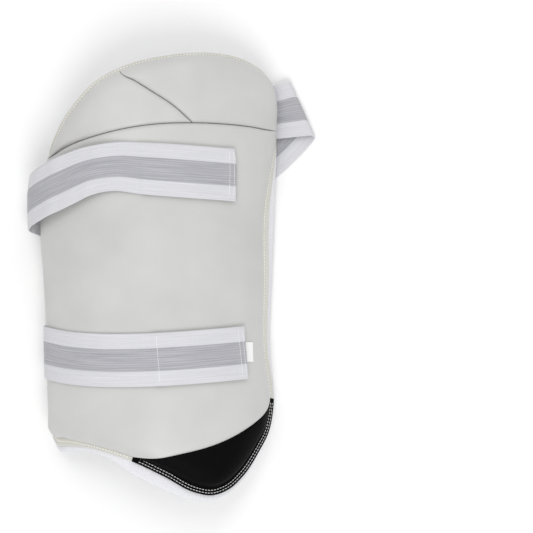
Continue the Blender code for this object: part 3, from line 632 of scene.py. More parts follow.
@dataclass
class Relief:
    """How thick the face and the liner are, with the grooves that divide the cushions."""

    arch: Arch
    edge: Edge

    def __post_init__(self) -> None:
        """Lays the grooves out."""
        edge = self.edge
        self.flex_left = edge.place("groove_left")
        self.flex_right = edge.place("groove_right")
        self.hip_top = edge.place("dome_left")
        self.toe_left = edge.place("toe_left")
        self.toe_right = edge.place("toe_right") + edge.total
        self.cushion_edge, self.rim = (edge.run(0.0, edge.total, depth, EDGE_POINTS)
                                       for depth in (edge.cushion_depth, edge.rim_depth))
        self.grooves = ((self.flex_groove(), 1.0), (self.hip_groove(), 1.0),
                        (self.toe_seam(), TOE_SEAM_DEPTH))

    def cushion_point(self, at: float) -> Points:
        """The end of the cushions at one place of the edge."""
        place = np.array([at])
        return self.edge.inset(place, self.edge.cushion_depth(place))[0]

    def groove(self, rows: Sequence, ends: Sequence, aside: float) -> Points:
        """Draws a groove from left to right through its inner rows.

        Args:
            rows: Inner points, as shares.
            ends: For each end its place round the edge, or its point where it isn't on the edge.
            aside: How far the line is moved to its left.

        Returns:
            A polyline on the flattened pad.
        """
        on_edge = [np.isscalar(end) for end in ends]
        start, end = (self.cushion_point(at) if on else at for at, on in zip(ends, on_edge))
        line = through(np.vstack([start, self.arch.flat(rows), end]), GROOVE_POINTS)
        line = line + turned_left(unit(np.gradient(line, axis=0))) * aside
        line[0] = self.cushion_point(ends[0] - aside)
        line[-1] = self.cushion_point(ends[1] + aside) if on_edge[1] else end + [aside, 0.0]
        return line

    def flex_groove(self, aside: float = 0.0) -> Points:
        """The curved groove that lets the hip end bend, from the left edge to the right."""
        return self.groove(FLEX_GROOVE, (self.flex_left, self.flex_right), aside)

    def flex_cut(self) -> int:
        """Which of the flex groove's points the hip groove meets."""
        line = self.flex_groove(SEAM_GAP / 2)
        foot = self.arch.flat((HIP_GROOVE_FOOT, FLEX_GROOVE[6][1]))[0]
        return int(np.argmin(np.abs(line[:, 0] - foot)))

    def hip_groove(self, aside: float = 0.0) -> Points:
        """The slanting groove across the hip end, from its top down to the flex groove."""
        foot = self.flex_groove(SEAM_GAP / 2)[self.flex_cut()]
        return self.groove(HIP_GROOVE, (self.hip_top, foot), aside)

    def toe_seam(self, aside: float = 0.0) -> Points:
        """The seam between the pale face and the black toe, from left to right."""
        return self.groove(TOE_SEAM, (self.toe_left, self.toe_right), aside)

    def face(self, points: Points, fine: bool = False) -> Points:
        """Height of the face's top above the arch, with the flange as its lowest level.

        Args:
            points: Points of the flattened pad.
            fine: Whether the creases and the soft waves of the foam are added.

        Returns:
            One height for each point.
        """
        shape = points.shape[:-1]
        points = points.reshape(-1, 2)
        to_edge = distance(points, self.cushion_edge)
        side = eased(points[:, 0], *(share * PAD_WIDTH for share in RIGHT_ROLL_OVER))
        roll = EDGE_ROLL * (1 + RIGHT_ROLL * side)
        height = FACE_EDGE + (FACE_THICKNESS - FACE_EDGE) * quarter_round(to_edge / roll)
        crease = np.zeros(len(points))
        for line, share in self.grooves:
            near = distance(points, line)
            pressed = GROOVE_DEPTH * share * (1 - quarter_round(near / GROOVE_ROLL))
            height = np.minimum(height, np.maximum(FACE_THICKNESS - pressed, FACE_EDGE))
            crease = np.maximum(crease, share * np.clip(1 - near / CREASE_REACH, 0, 1) ** 2)
        if fine:
            level = np.clip(to_edge / EDGE_ROLL, 0, 1)
            height = height - CREASE_DEPTH * crease + SOFT_WAVE * level * soft_wave(points)
        else:
            held = inside(points, self.cushion_edge) | (to_edge < 2 * SEAM_GAP)
            height = np.where(held, height, FLANGE_THICKNESS + FACE_SEAT)
        return height.reshape(shape)

    def liner(self, points: Points) -> Points:
        """Thickness of the liner, which thins towards its edge."""
        shape = points.shape[:-1]
        share = quarter_round(distance(points.reshape(-1, 2), self.rim) / LINER_TAPER)
        return (LINER_EDGE + (LINER_THICKNESS - LINER_EDGE) * share).reshape(shape)

    def side_rim(self, along: Points, start: float, end: float) -> Points:
        """Where the liner ends on one side, on the flattened pad."""
        line = self.edge.run(start, end, self.edge.rim_depth, SIDE_POINTS)
        line = line[np.argsort(line[:, 1])]
        return np.interp(along, line[:, 1], line[:, 0])


def soft_wave(points: Points) -> Points:
    """A slow, uneven wave from about -1 to 1 over the flattened pad, as moulded foam has."""
    waves = (share * np.sin(points[:, 0] * x + points[:, 1] * y + start)
             for share, x, y, start in SOFT_WAVES)
    return sum(waves) / sum(row[0] for row in SOFT_WAVES)


ARCH = Arch()
EDGE = Edge(ARCH)
RELIEF = Relief(ARCH, EDGE)
STRAP_CLEAR = GAP + STRAP_EASE + STRAP_THICKNESS / 2
STRAP_LEVEL = (float(ARCH.raised(RELIEF.rim, -LINER_EDGE)[:, 2].min())
               - GAP - STRAP_THICKNESS / 2)


def frame_shift() -> Points:
    """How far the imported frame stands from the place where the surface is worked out.

    Returns:
        The move along X, Y and Z, in metres.
    """
    low, high = (np.array(corner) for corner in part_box("back_liner"))
    rim = ARCH.raised(RELIEF.rim, 0.0)
    middle = (rim.min(axis=0) + rim.max(axis=0)) / 2
    shift = (low + high) / 2 - middle
    shift[2] = STRAP_THICKNESS / 2 - STRAP_LEVEL
    return shift


SHIFT = frame_shift()


# Finishes


def linear(code: str) -> tuple[float, float, float, float]:
    """Turns an sRGB hex colour into the linear colour, with its alpha, that a shader takes."""
    parts = [int(code[i:i + 2], 16) / 255 for i in (0, 2, 4)]
    values = [c / 12.92 if c <= 0.04045 else ((c + 0.055) / 1.055) ** 2.4 for c in parts]
    return (*values, 1.0)


def feed(tree: Tree, node: Node, inputs: dict) -> None:
    """Fills a node's inputs.

    Args:
        tree: The material's node tree.
        node: The node.
        inputs: Input names or numbers, each with a value, a socket that feeds it or a node whose
            first output does.
    """
    for name, value in inputs.items():
        if isinstance(value, Node):
            value = value.outputs[0]
        if isinstance(value, bpy.types.NodeSocket):
            tree.links.new(value, node.inputs[name])
        else:
            node.inputs[name].default_value = value


def add_node(tree: Tree, kind: str, settings: Optional[dict] = None,
             inputs: Optional[dict] = None, colours: Sequence = ()) -> Node:
    """Adds one node.

    Args:
        tree: The material's node tree.
        kind: The node's type.
        settings: Attributes to set on it.
        inputs: What feed takes.
        colours: A colour ramp's (place, hex colour) stops.

    Returns:
        The node.
    """
    node = tree.nodes.new(kind)
    for name, value in (settings or {}).items():
        setattr(node, name, value)
    feed(tree, node, inputs or {})
    for number, (place, code) in enumerate(colours):
        if number == len(node.color_ramp.elements):
            node.color_ramp.elements.new(place)
        node.color_ramp.elements[number].position = place
        node.color_ramp.elements[number].color = linear(code)
    return node


class Space(Enum):
    """Where a pattern takes its place from."""

    OBJECT = "Object"
    FLAT = "UV"


@dataclass(frozen=True)
class Finish:
    """What every finish has, with the strength and depth of its pattern's relief."""

    name: str
    colour: str
    roughness: float
    sheen: float = 0.0
    specular: float = 0.5
    strength: float = 0.8
    depth_mm: float = 0.1

    def pattern(self, tree: Tree) -> dict[str, Node]:
        """Gives what feeds the shader's inputs, and "Height": none on a plain finish.

        Args:
            tree: The material's node tree.

        Returns:
            What feeds each of them.
        """
        return {}

    def place(self, tree: Tree, space: Space,
              scale: Sequence[float] = (1.0, 1.0, 1.0), turn: float = 0.0) -> Node:
        """Gives the place that a pattern reads, in metres times scale, turned by some degrees.

        Args:
            tree: The material's node tree.
            space: What the place is taken from.
            scale: What X, Y and Z are multiplied by.
            turn: Degrees about Z.

        Returns:
            The node that gives it.
        """
        source = add_node(tree, "ShaderNodeTexCoord").outputs[space.value]
        scaled = add_node(tree, "ShaderNodeMapping", inputs={"Vector": source, "Scale": scale})
        return scaled if not turn else add_node(tree, "ShaderNodeMapping", inputs={
            "Vector": scaled, "Rotation": (0.0, 0.0, math.radians(turn))})

    @cache
    def build(self) -> bpy.types.Material:
        """Makes the material once: what the pattern gives feeds it, "Height" through a bump.

        Returns:
            The material.
        """
        made = bpy.data.materials.new(self.name)
        made.use_nodes = True
        made.diffuse_color = linear(self.colour)
        tree = made.node_tree
        fed = {"Base Color": linear(self.colour), "Roughness": self.roughness,
               "Sheen Weight": self.sheen, "Sheen Roughness": 0.5,
               "Specular IOR Level": self.specular} | self.pattern(tree)
        if "Height" in fed:
            fed["Normal"] = add_node(tree, "ShaderNodeBump", inputs={
                "Height": fed.pop("Height"), "Strength": self.strength,
                "Distance": self.depth_mm / 1000})
        feed(tree, tree.nodes["Principled BSDF"], fed)
        return made


@dataclass(frozen=True)
class CoatedLeather(Finish):
    """Polyurethane-coated synthetic leather: a pebble grain gives a soft, broken highlight."""

    shade: str = "c3c3c1"
    grain_mm: float = 1.2
    strength: float = 0.7
    depth_mm: float = 0.06

    def pattern(self, tree: Tree) -> dict[str, Node]:
        """Gives the grain, the uneven tone and the wear."""
        place = self.place(tree, Space.OBJECT)
        tone = add_node(tree, "ShaderNodeTexNoise", inputs={
            "Vector": place, "Scale": 14.0, "Detail": 3.0, "Roughness": 0.55})
        pebbles = add_node(tree, "ShaderNodeTexVoronoi", {"feature": "SMOOTH_F1"}, {
            "Vector": place, "Scale": 1000 / self.grain_mm, "Smoothness": 0.6})
        pores = add_node(tree, "ShaderNodeTexNoise", inputs={
            "Vector": place, "Scale": 2000 / self.grain_mm, "Detail": 2.0})
        return {
            "Base Color": add_node(tree, "ShaderNodeValToRGB", inputs={"Fac": tone}, colours=(
                (0.30, self.shade), (0.62, self.colour))),
            "Height": add_node(tree, "ShaderNodeMath", {"operation": "MULTIPLY_ADD"}, {
                0: pores, 1: 0.4, 2: pebbles}),
            "Roughness": add_node(tree, "ShaderNodeMapRange", inputs={
                "Value": tone, "From Min": 0.3, "From Max": 0.7,
                "To Min": self.roughness + 0.07, "To Max": self.roughness - 0.05})}


@dataclass(frozen=True)
class EmbossedLeather(Finish):
    """Black coated leather with rows of small dimples, which glitter a little like carbon."""

    dimple_mm: float = 2.4
    depth_mm: float = 0.28
    # Colour at the bottom of each dimple: painted shade, darker than the black around it.
    dimple_shade: str = "030303"

    def pattern(self, tree: Tree) -> dict[str, Node]:
        """Gives the dimples, with painted shade in their hollows: the real ones, about 1 mm, are
        drawn coarser so that they show.
        """
        pitch = 1000 / self.dimple_mm
        cells = add_node(tree, "ShaderNodeTexVoronoi", {"voronoi_dimensions": "2D"}, {
            "Vector": self.place(tree, Space.FLAT, (pitch, pitch, 1.0), 35), "Scale": 1.0,
            "Randomness": 0.0})
        dimples = add_node(tree, "ShaderNodeMapRange", {"interpolation_type": "SMOOTHSTEP"}, {
            "Value": cells, "From Min": 0.16, "From Max": 0.42})
        grain = add_node(tree, "ShaderNodeTexNoise", inputs={
            "Vector": self.place(tree, Space.OBJECT), "Scale": 1800.0, "Detail": 2.0})
        return {
            "Height": add_node(tree, "ShaderNodeMath", {"operation": "MULTIPLY_ADD"}, {
                0: grain, 1: 0.25, 2: dimples}),
            # The colour darkens into each dimple: painted shade in the hollows.
            "Base Color": add_node(tree, "ShaderNodeValToRGB", inputs={"Fac": dimples}, colours=(
                (0.0, self.dimple_shade), (1.0, self.colour)))}


@dataclass(frozen=True)
class BrushedTowelling(Finish):
    """White cotton towelling, brushed soft: short matt loops with painted shade between them."""

    # Colour between the loops: painted shade.
    shade: str = "dfdfe4"
    loop_mm: float = 1.1
    depth_mm: float = 0.2

    def pattern(self, tree: Tree) -> dict[str, Node]:
        """Gives the loops with their fluff, and paints shade between the loops."""
        place = self.place(tree, Space.OBJECT)
        loops = add_node(tree, "ShaderNodeTexVoronoi", {"feature": "F1"}, {
            "Vector": place, "Scale": 1000 / self.loop_mm, "Randomness": 0.9})
        fluff = add_node(tree, "ShaderNodeTexNoise", inputs={
            "Vector": place, "Scale": 1500 / self.loop_mm, "Detail": 4.0, "Roughness": 0.7})
        return {
            "Height": add_node(tree, "ShaderNodeMath", {"operation": "SUBTRACT"}, {
                0: fluff, 1: loops}),
            # The colour darkens away from each loop's middle: painted shade between the loops.
            "Base Color": add_node(tree, "ShaderNodeValToRGB", inputs={"Fac": loops}, colours=(
                (0.15, self.colour), (0.75, self.shade)))}


@dataclass(frozen=True)
class RibbedWebbing(Finish):
    """Woven elastic: ribs along the band over finer picks across it, with a wide stripe."""

    # Darker ends of the colour ramps: darker yarn in the streaks and painted shade between the
    # ribs.
    shade: str = "cdcdd2"
    stripe: str = "b9b9be"
    stripe_shade: str = "9c9ca2"
    stripe_mm: float = 21.5
    rib_mm: float = 2.1
    pick_mm: float = 1.7
    strength: float = 0.55
    depth_mm: float = 0.14

    def pattern(self, tree: Tree) -> dict[str, Node]:
        """Gives the weave: real ribs are about 0.8 mm and are drawn coarser so that they show."""
        parts = add_node(tree, "ShaderNodeSeparateXYZ", inputs={
            "Vector": self.place(tree, Space.FLAT, (1000.0, 1000.0, 1.0))})
        ribs, picks = (add_node(tree, "ShaderNodeMath", {"operation": "SINE"}, {
            0: add_node(tree, "ShaderNodeMath", {"operation": "MULTIPLY"}, {
                0: parts.outputs[axis], 1: 2 * math.pi / pitch})})
            for axis, pitch in (("Y", self.rib_mm), ("X", self.pick_mm)))
        weave = add_node(tree, "ShaderNodeMath", {"operation": "MULTIPLY_ADD"}, {
            0: picks, 1: 0.3, 2: ribs})
        fluff = add_node(tree, "ShaderNodeTexNoise", inputs={
            "Vector": self.place(tree, Space.OBJECT), "Scale": 1400.0, "Detail": 3.0})
        streaks = add_node(tree, "ShaderNodeTexNoise", inputs={
            "Vector": self.place(tree, Space.FLAT, (18.0, 620.0, 1.0)), "Scale": 1.0,
            "Detail": 3.0, "Roughness": 0.6})
        # The colour follows the yarn's streaks, real tone, and a tenth of the weave: painted shade
        # in the furrows between the ribs and painted light on their tops.
        streaks_and_rib_shade = add_node(tree, "ShaderNodeMath", {"operation": "MULTIPLY_ADD"}, {
            0: weave, 1: 0.10, 2: streaks})
        streak_tone_and_rib_shade = add_node(tree, "ShaderNodeMapRange", inputs={
            "Value": streaks_and_rib_shade, "From Min": 0.28, "From Max": 0.72})
        white, grey = (add_node(tree, "ShaderNodeValToRGB", inputs={"Fac": streak_tone_and_rib_shade}, colours=(
            (0.0, dark), (1.0, light))) for dark, light in (
                (self.shade, self.colour), (self.stripe_shade, self.stripe)))
        off = add_node(tree, "ShaderNodeMath", {"operation": "ABSOLUTE"}, {0: parts.outputs["Y"]})
        within = add_node(tree, "ShaderNodeMapRange", inputs={
            "Value": off, "From Min": self.stripe_mm / 2 - 0.25,
            "From Max": self.stripe_mm / 2 + 0.25, "To Min": 1.0, "To Max": 0.0})
        return {
            "Height": add_node(tree, "ShaderNodeMath", {"operation": "ADD"}, {
                0: weave, 1: fluff}),
            "Base Color": add_node(tree, "ShaderNodeMix", {"data_type": "RGBA"}, {
                0: within, 6: white, 7: grey}).outputs[2]}


@dataclass(frozen=True)
class SpunThread(Finish):
    """Twisted polyester sewing thread: the twist gives slanting glints."""

    ply_mm: float = 0.5
    strength: float = 0.5

    def pattern(self, tree: Tree) -> dict[str, Node]:
        """Gives the twist."""
        return {"Height": add_node(tree, "ShaderNodeTexWave", inputs={
            "Vector": self.place(tree, Space.OBJECT), "Scale": 157 / self.ply_mm,
            "Distortion": 1.0})}


@dataclass(frozen=True)
class HookTape(Finish):
    """Moulded nylon hook tape: a fine regular dotting of tiny hooks."""

    pitch_mm: float = 1.6
    depth_mm: float = 0.6

    def pattern(self, tree: Tree) -> dict[str, Node]:
        """Gives the rows of hooks, which stand where the cells' middles are."""
        pitch = 1000 / self.pitch_mm
        cells = add_node(tree, "ShaderNodeTexVoronoi", {"voronoi_dimensions": "2D"}, {
            "Vector": self.place(tree, Space.FLAT, (pitch, pitch, 1.0)), "Scale": 1.0,
            "Randomness": 0.1})
        return {"Height": add_node(tree, "ShaderNodeMath", {"operation": "SUBTRACT"}, {
            0: 1.0, 1: cells})}


@dataclass(frozen=True)
class SatinLabel(Finish):
    """Woven satin label ribbon, bare: fine floats give a silky band of light."""

    thread_mm: float = 0.7
    strength: float = 0.4
    depth_mm: float = 0.15

    def pattern(self, tree: Tree) -> dict[str, Node]:
        """Gives the floats along the ribbon."""
        return {"Height": add_node(tree, "ShaderNodeTexNoise", inputs={
            "Vector": self.place(tree, Space.FLAT, (250.0, 1000 / self.thread_mm, 1.0)),
            "Scale": 1.0})}


FACE = CoatedLeather("coated_synthetic_leather", "cbcbc9", 0.46, sheen=0.05)
FLANGE = CoatedLeather("stitched_synthetic_leather", "d7d6ce", 0.5, shade="cfcec5")
TOE = EmbossedLeather("embossed_black_leather", "070708", 0.52, specular=0.05)
LINER = BrushedTowelling("brushed_cotton_towelling", "ececef", 0.95, sheen=0.1)
WEBBING = RibbedWebbing("woven_elastic_webbing", "dadade", 0.8, sheen=0.15)
PALE_THREAD = SpunThread("spun_polyester_thread", "faf9f4", 0.6)
WHITE_THREAD = SpunThread("white_polyester_thread", "f4f4f4", 0.55)
HOOKS = HookTape("nylon_hook_tape", "c9c9cc", 0.6)
LABEL = SatinLabel("woven_satin_label", "f3f3f3", 0.45, sheen=0.2)
FLOOR = Finish("painted_studio_floor", "fbfbfb", 0.9, specular=0.2)


# Meshes


def stops(length: float, first: Sequence[float], last: Sequence[float], count: int) -> Points:
    """Shares of a length: close together at both ends, as the lists say, and even between them.

    Args:
        length: The length in metres.
        first: Metres from its start.
        last: Metres from its end.
        count: How many even steps lie between them.

    Returns:
        Rising shares from 0 to 1.
    """
    head = [d / length for d in first]
    tail = [1 - d / length for d in reversed(last)]
    middle = np.linspace(head[-1], tail[0], count + 1)[1:-1]
    return np.array(head + list(middle) + tail)


def patch(borders: Sequence[Points], across: Points, along: Points) -> Grid:
    """Fits a grid of flat points to four border lines.

    Args:
        borders: Bottom, top, left and right line.
        across: Shares of the bottom and top lines' lengths.
        along: Shares of the left and right lines' lengths.

    Returns:
        A grid of points of the flattened pad.
    """
    bottom, top, left, right = borders
    low, high = resample(bottom, across), resample(top, across)
    near, far = resample(left, along), resample(right, along)
    s = across[:, None, None]
    t = along[None, :, None]
    ruled = low[:, None] * (1 - t) + high[:, None] * t + near[None] * (1 - s) + far[None] * s
    corners = (low[0] * (1 - s) * (1 - t) + low[-1] * s * (1 - t)
               + high[0] * (1 - s) * t + high[-1] * s * t)
    return ruled - corners


def sheet_solid(name: str, top: Grid, bottom: Grid, flat: Grid, finish: Finish) -> Piece:
    """Makes a closed sheet between two grids of points from one grid and its extrusion.

    Args:
        name: The piece's name.
        top: Points of the outer side.
        bottom: Points of the inner side.
        flat: The flattened place of each point, for the piece's UV map.
        finish: Its finish.

    Returns:
        The piece, at the origin.
    """
    rows, columns = top.shape[0] - 1, top.shape[1] - 1
    mesh = bmesh.new()
    layer = mesh.verts.layers.int.new("place")
    bmesh.ops.create_grid(mesh, x_segments=rows, y_segments=columns, size=1.0)
    for vert in mesh.verts:
        i = round((vert.co.x + 1) / 2 * rows)
        j = round((vert.co.y + 1) / 2 * columns)
        vert[layer] = i * (columns + 1) + j
    below = list(mesh.verts)
    raised = bmesh.ops.extrude_face_region(mesh, geom=mesh.faces[:], use_keep_orig=True)
    above = [item for item in raised["geom"] if isinstance(item, bmesh.types.BMVert)]
    for verts, grid in ((below, bottom), (above, top)):
        for vert in verts:
            i, j = divmod(vert[layer], columns + 1)
            vert.co = grid[i, j] + SHIFT
    unwrapped = mesh.loops.layers.uv.new("flat")
    for face in mesh.faces:
        for loop in face.loops:
            i, j = divmod(loop.vert[layer], columns + 1)
            loop[unwrapped].uv = flat[i, j]
    bmesh.ops.recalc_face_normals(mesh, faces=mesh.faces[:])
    if mesh.calc_volume(signed=True) < 0:
        bmesh.ops.reverse_faces(mesh, faces=mesh.faces[:])
    return finished(name, mesh, finish)


def placed(name: str, data: bpy.types.ID) -> Piece:
    """Puts new data into the scene as an object."""
    made = bpy.data.objects.new(name, data)
    bpy.context.scene.collection.objects.link(made)
    return made


def finished(name: str, mesh: bmesh.types.BMesh, finish: Finish) -> Piece:
    """Turns a bmesh into a smooth-shaded piece that rides on the pad.

    Args:
        name: The piece's name.
        mesh: Its shape, which is used up.
        finish: Its finish.

    Returns:
        The piece.
    """
    data = bpy.data.meshes.new(name)
    mesh.to_mesh(data)
    mesh.free()
    data.shade_smooth()
    data.set_sharp_from_angle(angle=SHARP_ANGLE)
    data.materials.append(finish.build())
    made = placed(name, data)
    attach(made, "root")
    log.info("%s: %d faces", name, len(data.polygons))
    return made


def stitches(name: str, seams: Iterable[tuple[Points, Points, float]],
             finish: Finish, width: float = THREAD_WIDTH) -> Piece:
    """Sews rows of stitches, each one a small rounded grain of thread.

    Args:
        name: The piece's name.
        seams: For each row its points, the surface's normals there and the stitch's pitch.
        finish: The thread's finish.
        width: The thread's breadth.

    Returns:
        One piece with all the rows.
    """
    mesh = bmesh.new()
    for line, normals, pitch in seams:
        count = max(2, int(span(line) / pitch))
        at = (np.arange(count) + 0.5) / count
        reach = STITCH_REACH / count
        ways = (resample(line, np.minimum(at + reach, 1))
                - resample(line, np.maximum(at - reach, 0)))
        ups = resample(np.hstack([line, normals]), at)[:, 3:]
        for centre, way, up in zip(resample(line, at), ways, ups):
            way, up = Vector(way).normalized(), Vector(up).normalized()
            aside = up.cross(way).normalized()
            turn = Matrix((way, aside, way.cross(aside))).transposed().to_4x4()
            size = Matrix.Diagonal(
                (pitch * STITCH_SHARE, width / 2, width * THREAD_RISE / 2, 1.0))
            place = Matrix.Translation(Vector(centre + SHIFT) + up * width * STITCH_LIFT)
            bmesh.ops.create_uvsphere(mesh, u_segments=6, v_segments=4, radius=1.0,
                                      matrix=place @ turn @ size)
    return finished(name, mesh, finish)


# The face


@dataclass
class Face:
    """The moulded cushions of the face and the black toe, with their pressed grooves."""

    roll: Points = field(default_factory=lambda: EDGE_ROLL * np.linspace(0, 1, 15) ** 2)
    dip: Points = field(default_factory=lambda: np.concatenate(
        [CREASE_REACH * np.linspace(0, 1, 4), GROOVE_ROLL * np.linspace(0.35, 1, 6)]))
    cell: float = 0.0022
    half: float = SEAM_GAP / 2
    toe_grid: tuple[int, int] = (60, 64)
    toe_points: int = 320
    toe_crowding: float = 1.15
    toe_roll: float = EDGE_ROLL * 0.25
    toe_curve: float = 0.8

    def cushion(self, name: str, borders: Sequence[Points], ends: Sequence[Points]) -> Piece:
        """Makes one cushion.

        Args:
            name: The piece's name.
            borders: Its bottom, top, left and right line on the flattened pad.
            ends: The first stops from the left, the right, the bottom and the top line.

        Returns:
            The piece.
        """
        breadth, length = span(borders[0]), span(borders[2])
        across = stops(breadth, ends[0], ends[1], max(2, int(breadth / self.cell)))
        along = stops(length, ends[2], ends[3], max(2, int(length / self.cell)))
        grid = patch(borders, across, along)
        top = ARCH.raised(grid, RELIEF.face(grid, fine=True))
        bottom = ARCH.raised(grid, FACE_SEAT)
        made = sheet_solid(name, top, bottom, grid, FACE)
        return made

    def main_pad(self) -> Piece:
        """The large cushion between the flex groove and the toe.

        Returns:
            The piece.
        """
        corner = EDGE.place("corner_left")
        heel = EDGE.run(corner, RELIEF.toe_left - self.half, EDGE.cushion_depth)
        bottom = np.vstack([heel[:-1], RELIEF.toe_seam(self.half)])
        top = RELIEF.flex_groove(-self.half)
        left = EDGE.run(RELIEF.flex_left + self.half, corner, EDGE.cushion_depth)[::-1]
        right = EDGE.run(RELIEF.toe_right - EDGE.total + self.half,
                         RELIEF.flex_right - self.half, EDGE.cushion_depth)
        made = self.cushion("moulded_main_cushion", (bottom, top, left, right),
                            (self.roll, self.roll, self.roll, self.dip))
        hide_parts("main_pad")
        return made

    def hip_pads(self) -> list[Piece]:
        """The two cushions of the hip end, left and right of the slanting groove.

        Returns:
            The left and the right one.
        """
        flex = RELIEF.flex_groove(self.half)
        cut = RELIEF.flex_cut()
        slant_left, slant_right = RELIEF.hip_groove(-self.half), RELIEF.hip_groove(self.half)
        foot_left = np.vstack([flex[:cut], slant_left[-1:]])
        foot_right = np.vstack([slant_right[-1:], flex[cut + 1:]])
        middle, shoulder = EDGE.place("hip_middle"), EDGE.place("shoulder")
        left = EDGE.run(middle, RELIEF.flex_left - self.half, EDGE.cushion_depth)[::-1]
        top = EDGE.run(RELIEF.hip_top + self.half, middle, EDGE.cushion_depth)[::-1]
        first = self.cushion("moulded_hip_cushion_left", (foot_left, top, left, slant_left[::-1]),
                             (self.roll, self.dip, self.dip, self.roll))
        right = EDGE.run(RELIEF.flex_right + self.half, shoulder, EDGE.cushion_depth)
        top = EDGE.run(shoulder, RELIEF.hip_top - self.half, EDGE.cushion_depth)[::-1]
        second = self.cushion("moulded_hip_cushion_right",
                              (foot_right, top, slant_right[::-1], right),
                              (self.dip, self.roll, self.dip, self.roll))
        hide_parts("hip_pad_left")
        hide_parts("hip_pad_right")
        return [first, second]

    def toe(self) -> Piece:
        """The black toe, which carries its own flat stitched edge.

        Returns:
            The piece.
        """
        top = RELIEF.toe_seam(-self.half)
        bottom = EDGE.run(RELIEF.toe_left + self.half, RELIEF.toe_right - self.half,
                          EDGE.no_depth, self.toe_points)
        left, right = np.stack([bottom[0], top[0]]), np.stack([bottom[-1], top[-1]])
        across = stops(span(top), self.roll, self.roll, self.toe_grid[0])
        along = np.linspace(0.0, 1.0, self.toe_grid[1]) ** self.toe_crowding
        grid = patch((bottom, top, left, right), across, along)
        points = grid.reshape(-1, 2)
        to_edge = distance(points, RELIEF.cushion_edge).reshape(grid.shape[:2])
        held = inside(points, RELIEF.cushion_edge).reshape(grid.shape[:2])
        level = FLANGE_THICKNESS + FACE_SEAT
        rise = quarter_round(to_edge / self.toe_roll) ** self.toe_curve
        height = np.where(held, level + (RELIEF.face(grid, fine=True) - level) * rise, level)
        made = sheet_solid("moulded_toe_cap", ARCH.raised(grid, height),
                           ARCH.raised(grid, FACE_SEAT), grid, TOE)
        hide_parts("toe_pad")
        return made

    def build(self) -> None:
        """Makes and dresses the cushions."""
        for piece in [self.main_pad(), *self.hip_pads()]:
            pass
        self.toe()


@dataclass
class Flange:
    """The flat stitched flange round the pale cushions, and the stitches all round the edge."""

    step: float = 0.0014
    rows_at: tuple[float, ...] = (0.0, 0.06, 0.18, 0.34, 0.5, 0.66, 0.82, 0.94, 1.0)
    round_to: float = 0.34
    sewn_dip: float = 0.22
    sewn_spread: float = 0.16
    seam_at: float = 0.6
    toe_seams: tuple[float, ...] = (0.0022, 0.0048)
    seam_ends: tuple[float, float] = (0.004, 0.006)
    seam_step: float = 0.002

    def band(self) -> Piece:
        """Makes the flange, rounded over at its outer edge.

        Returns:
            The piece.
        """
        half = SEAM_GAP / 2
        start, end = RELIEF.toe_right - EDGE.total + half, RELIEF.toe_left - half
        at = np.linspace(start, end, int((end - start) / self.step))
        shares = np.array(self.rows_at)
        width = EDGE.flange(at)
        grid = np.stack([EDGE.inset(at, width * share) for share in shares], axis=1)
        round_over = quarter_round(shares / self.round_to)[None] * np.ones((len(at), 1))
        sewn = 1 - self.sewn_dip * np.exp(-((shares - 0.5) / self.sewn_spread) ** 2)[None]
        height = FACE_SEAT + FLANGE_THICKNESS * (0.45 + 0.55 * round_over) * sewn
        return sheet_solid("stitched_edge_flange", ARCH.raised(grid, height),
                           ARCH.raised(grid, FACE_SEAT), grid, FLANGE)

    def seam(self, start: float, end: float, depth: Callable, lift: float,
             pitch: float) -> tuple[Points, Points, float]:
        """Lays one row of stitches along the edge.

        Args:
            start: Where it begins, in metres round the edge.
            end: Where it stops.
            depth: How far inside the edge it runs, as a function of the place.
            lift: The surface's height over the arch there.
            pitch: Length of one stitch with its gap.

        Returns:
            The row's points, normals and pitch.
        """
        line = EDGE.run(start, end, depth, int((end - start) / self.seam_step))
        points = ARCH.raised(line, lift)
        return points, ARCH.normal(line[:, 0], line[:, 1]), pitch

    def build(self) -> None:
        """Makes the flange and sews it."""
        band = self.band()
        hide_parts("edge_binding")
        level = FACE_SEAT + FLANGE_THICKNESS
        near, far = self.seam_ends
        pale = stitches("flange_stitches", [self.seam(
            RELIEF.toe_right - EDGE.total + near, RELIEF.toe_left - near,
            lambda at: EDGE.flange(at) * self.seam_at, level * 0.9, FLANGE_STITCH)],
            PALE_THREAD, FLANGE_THREAD)
        white = stitches("toe_stitches", [self.seam(
            RELIEF.toe_left + far, RELIEF.toe_right - near,
            lambda at, depth=depth: np.full_like(at, depth), level, TOE_STITCH)
            for depth in self.toe_seams], WHITE_THREAD)


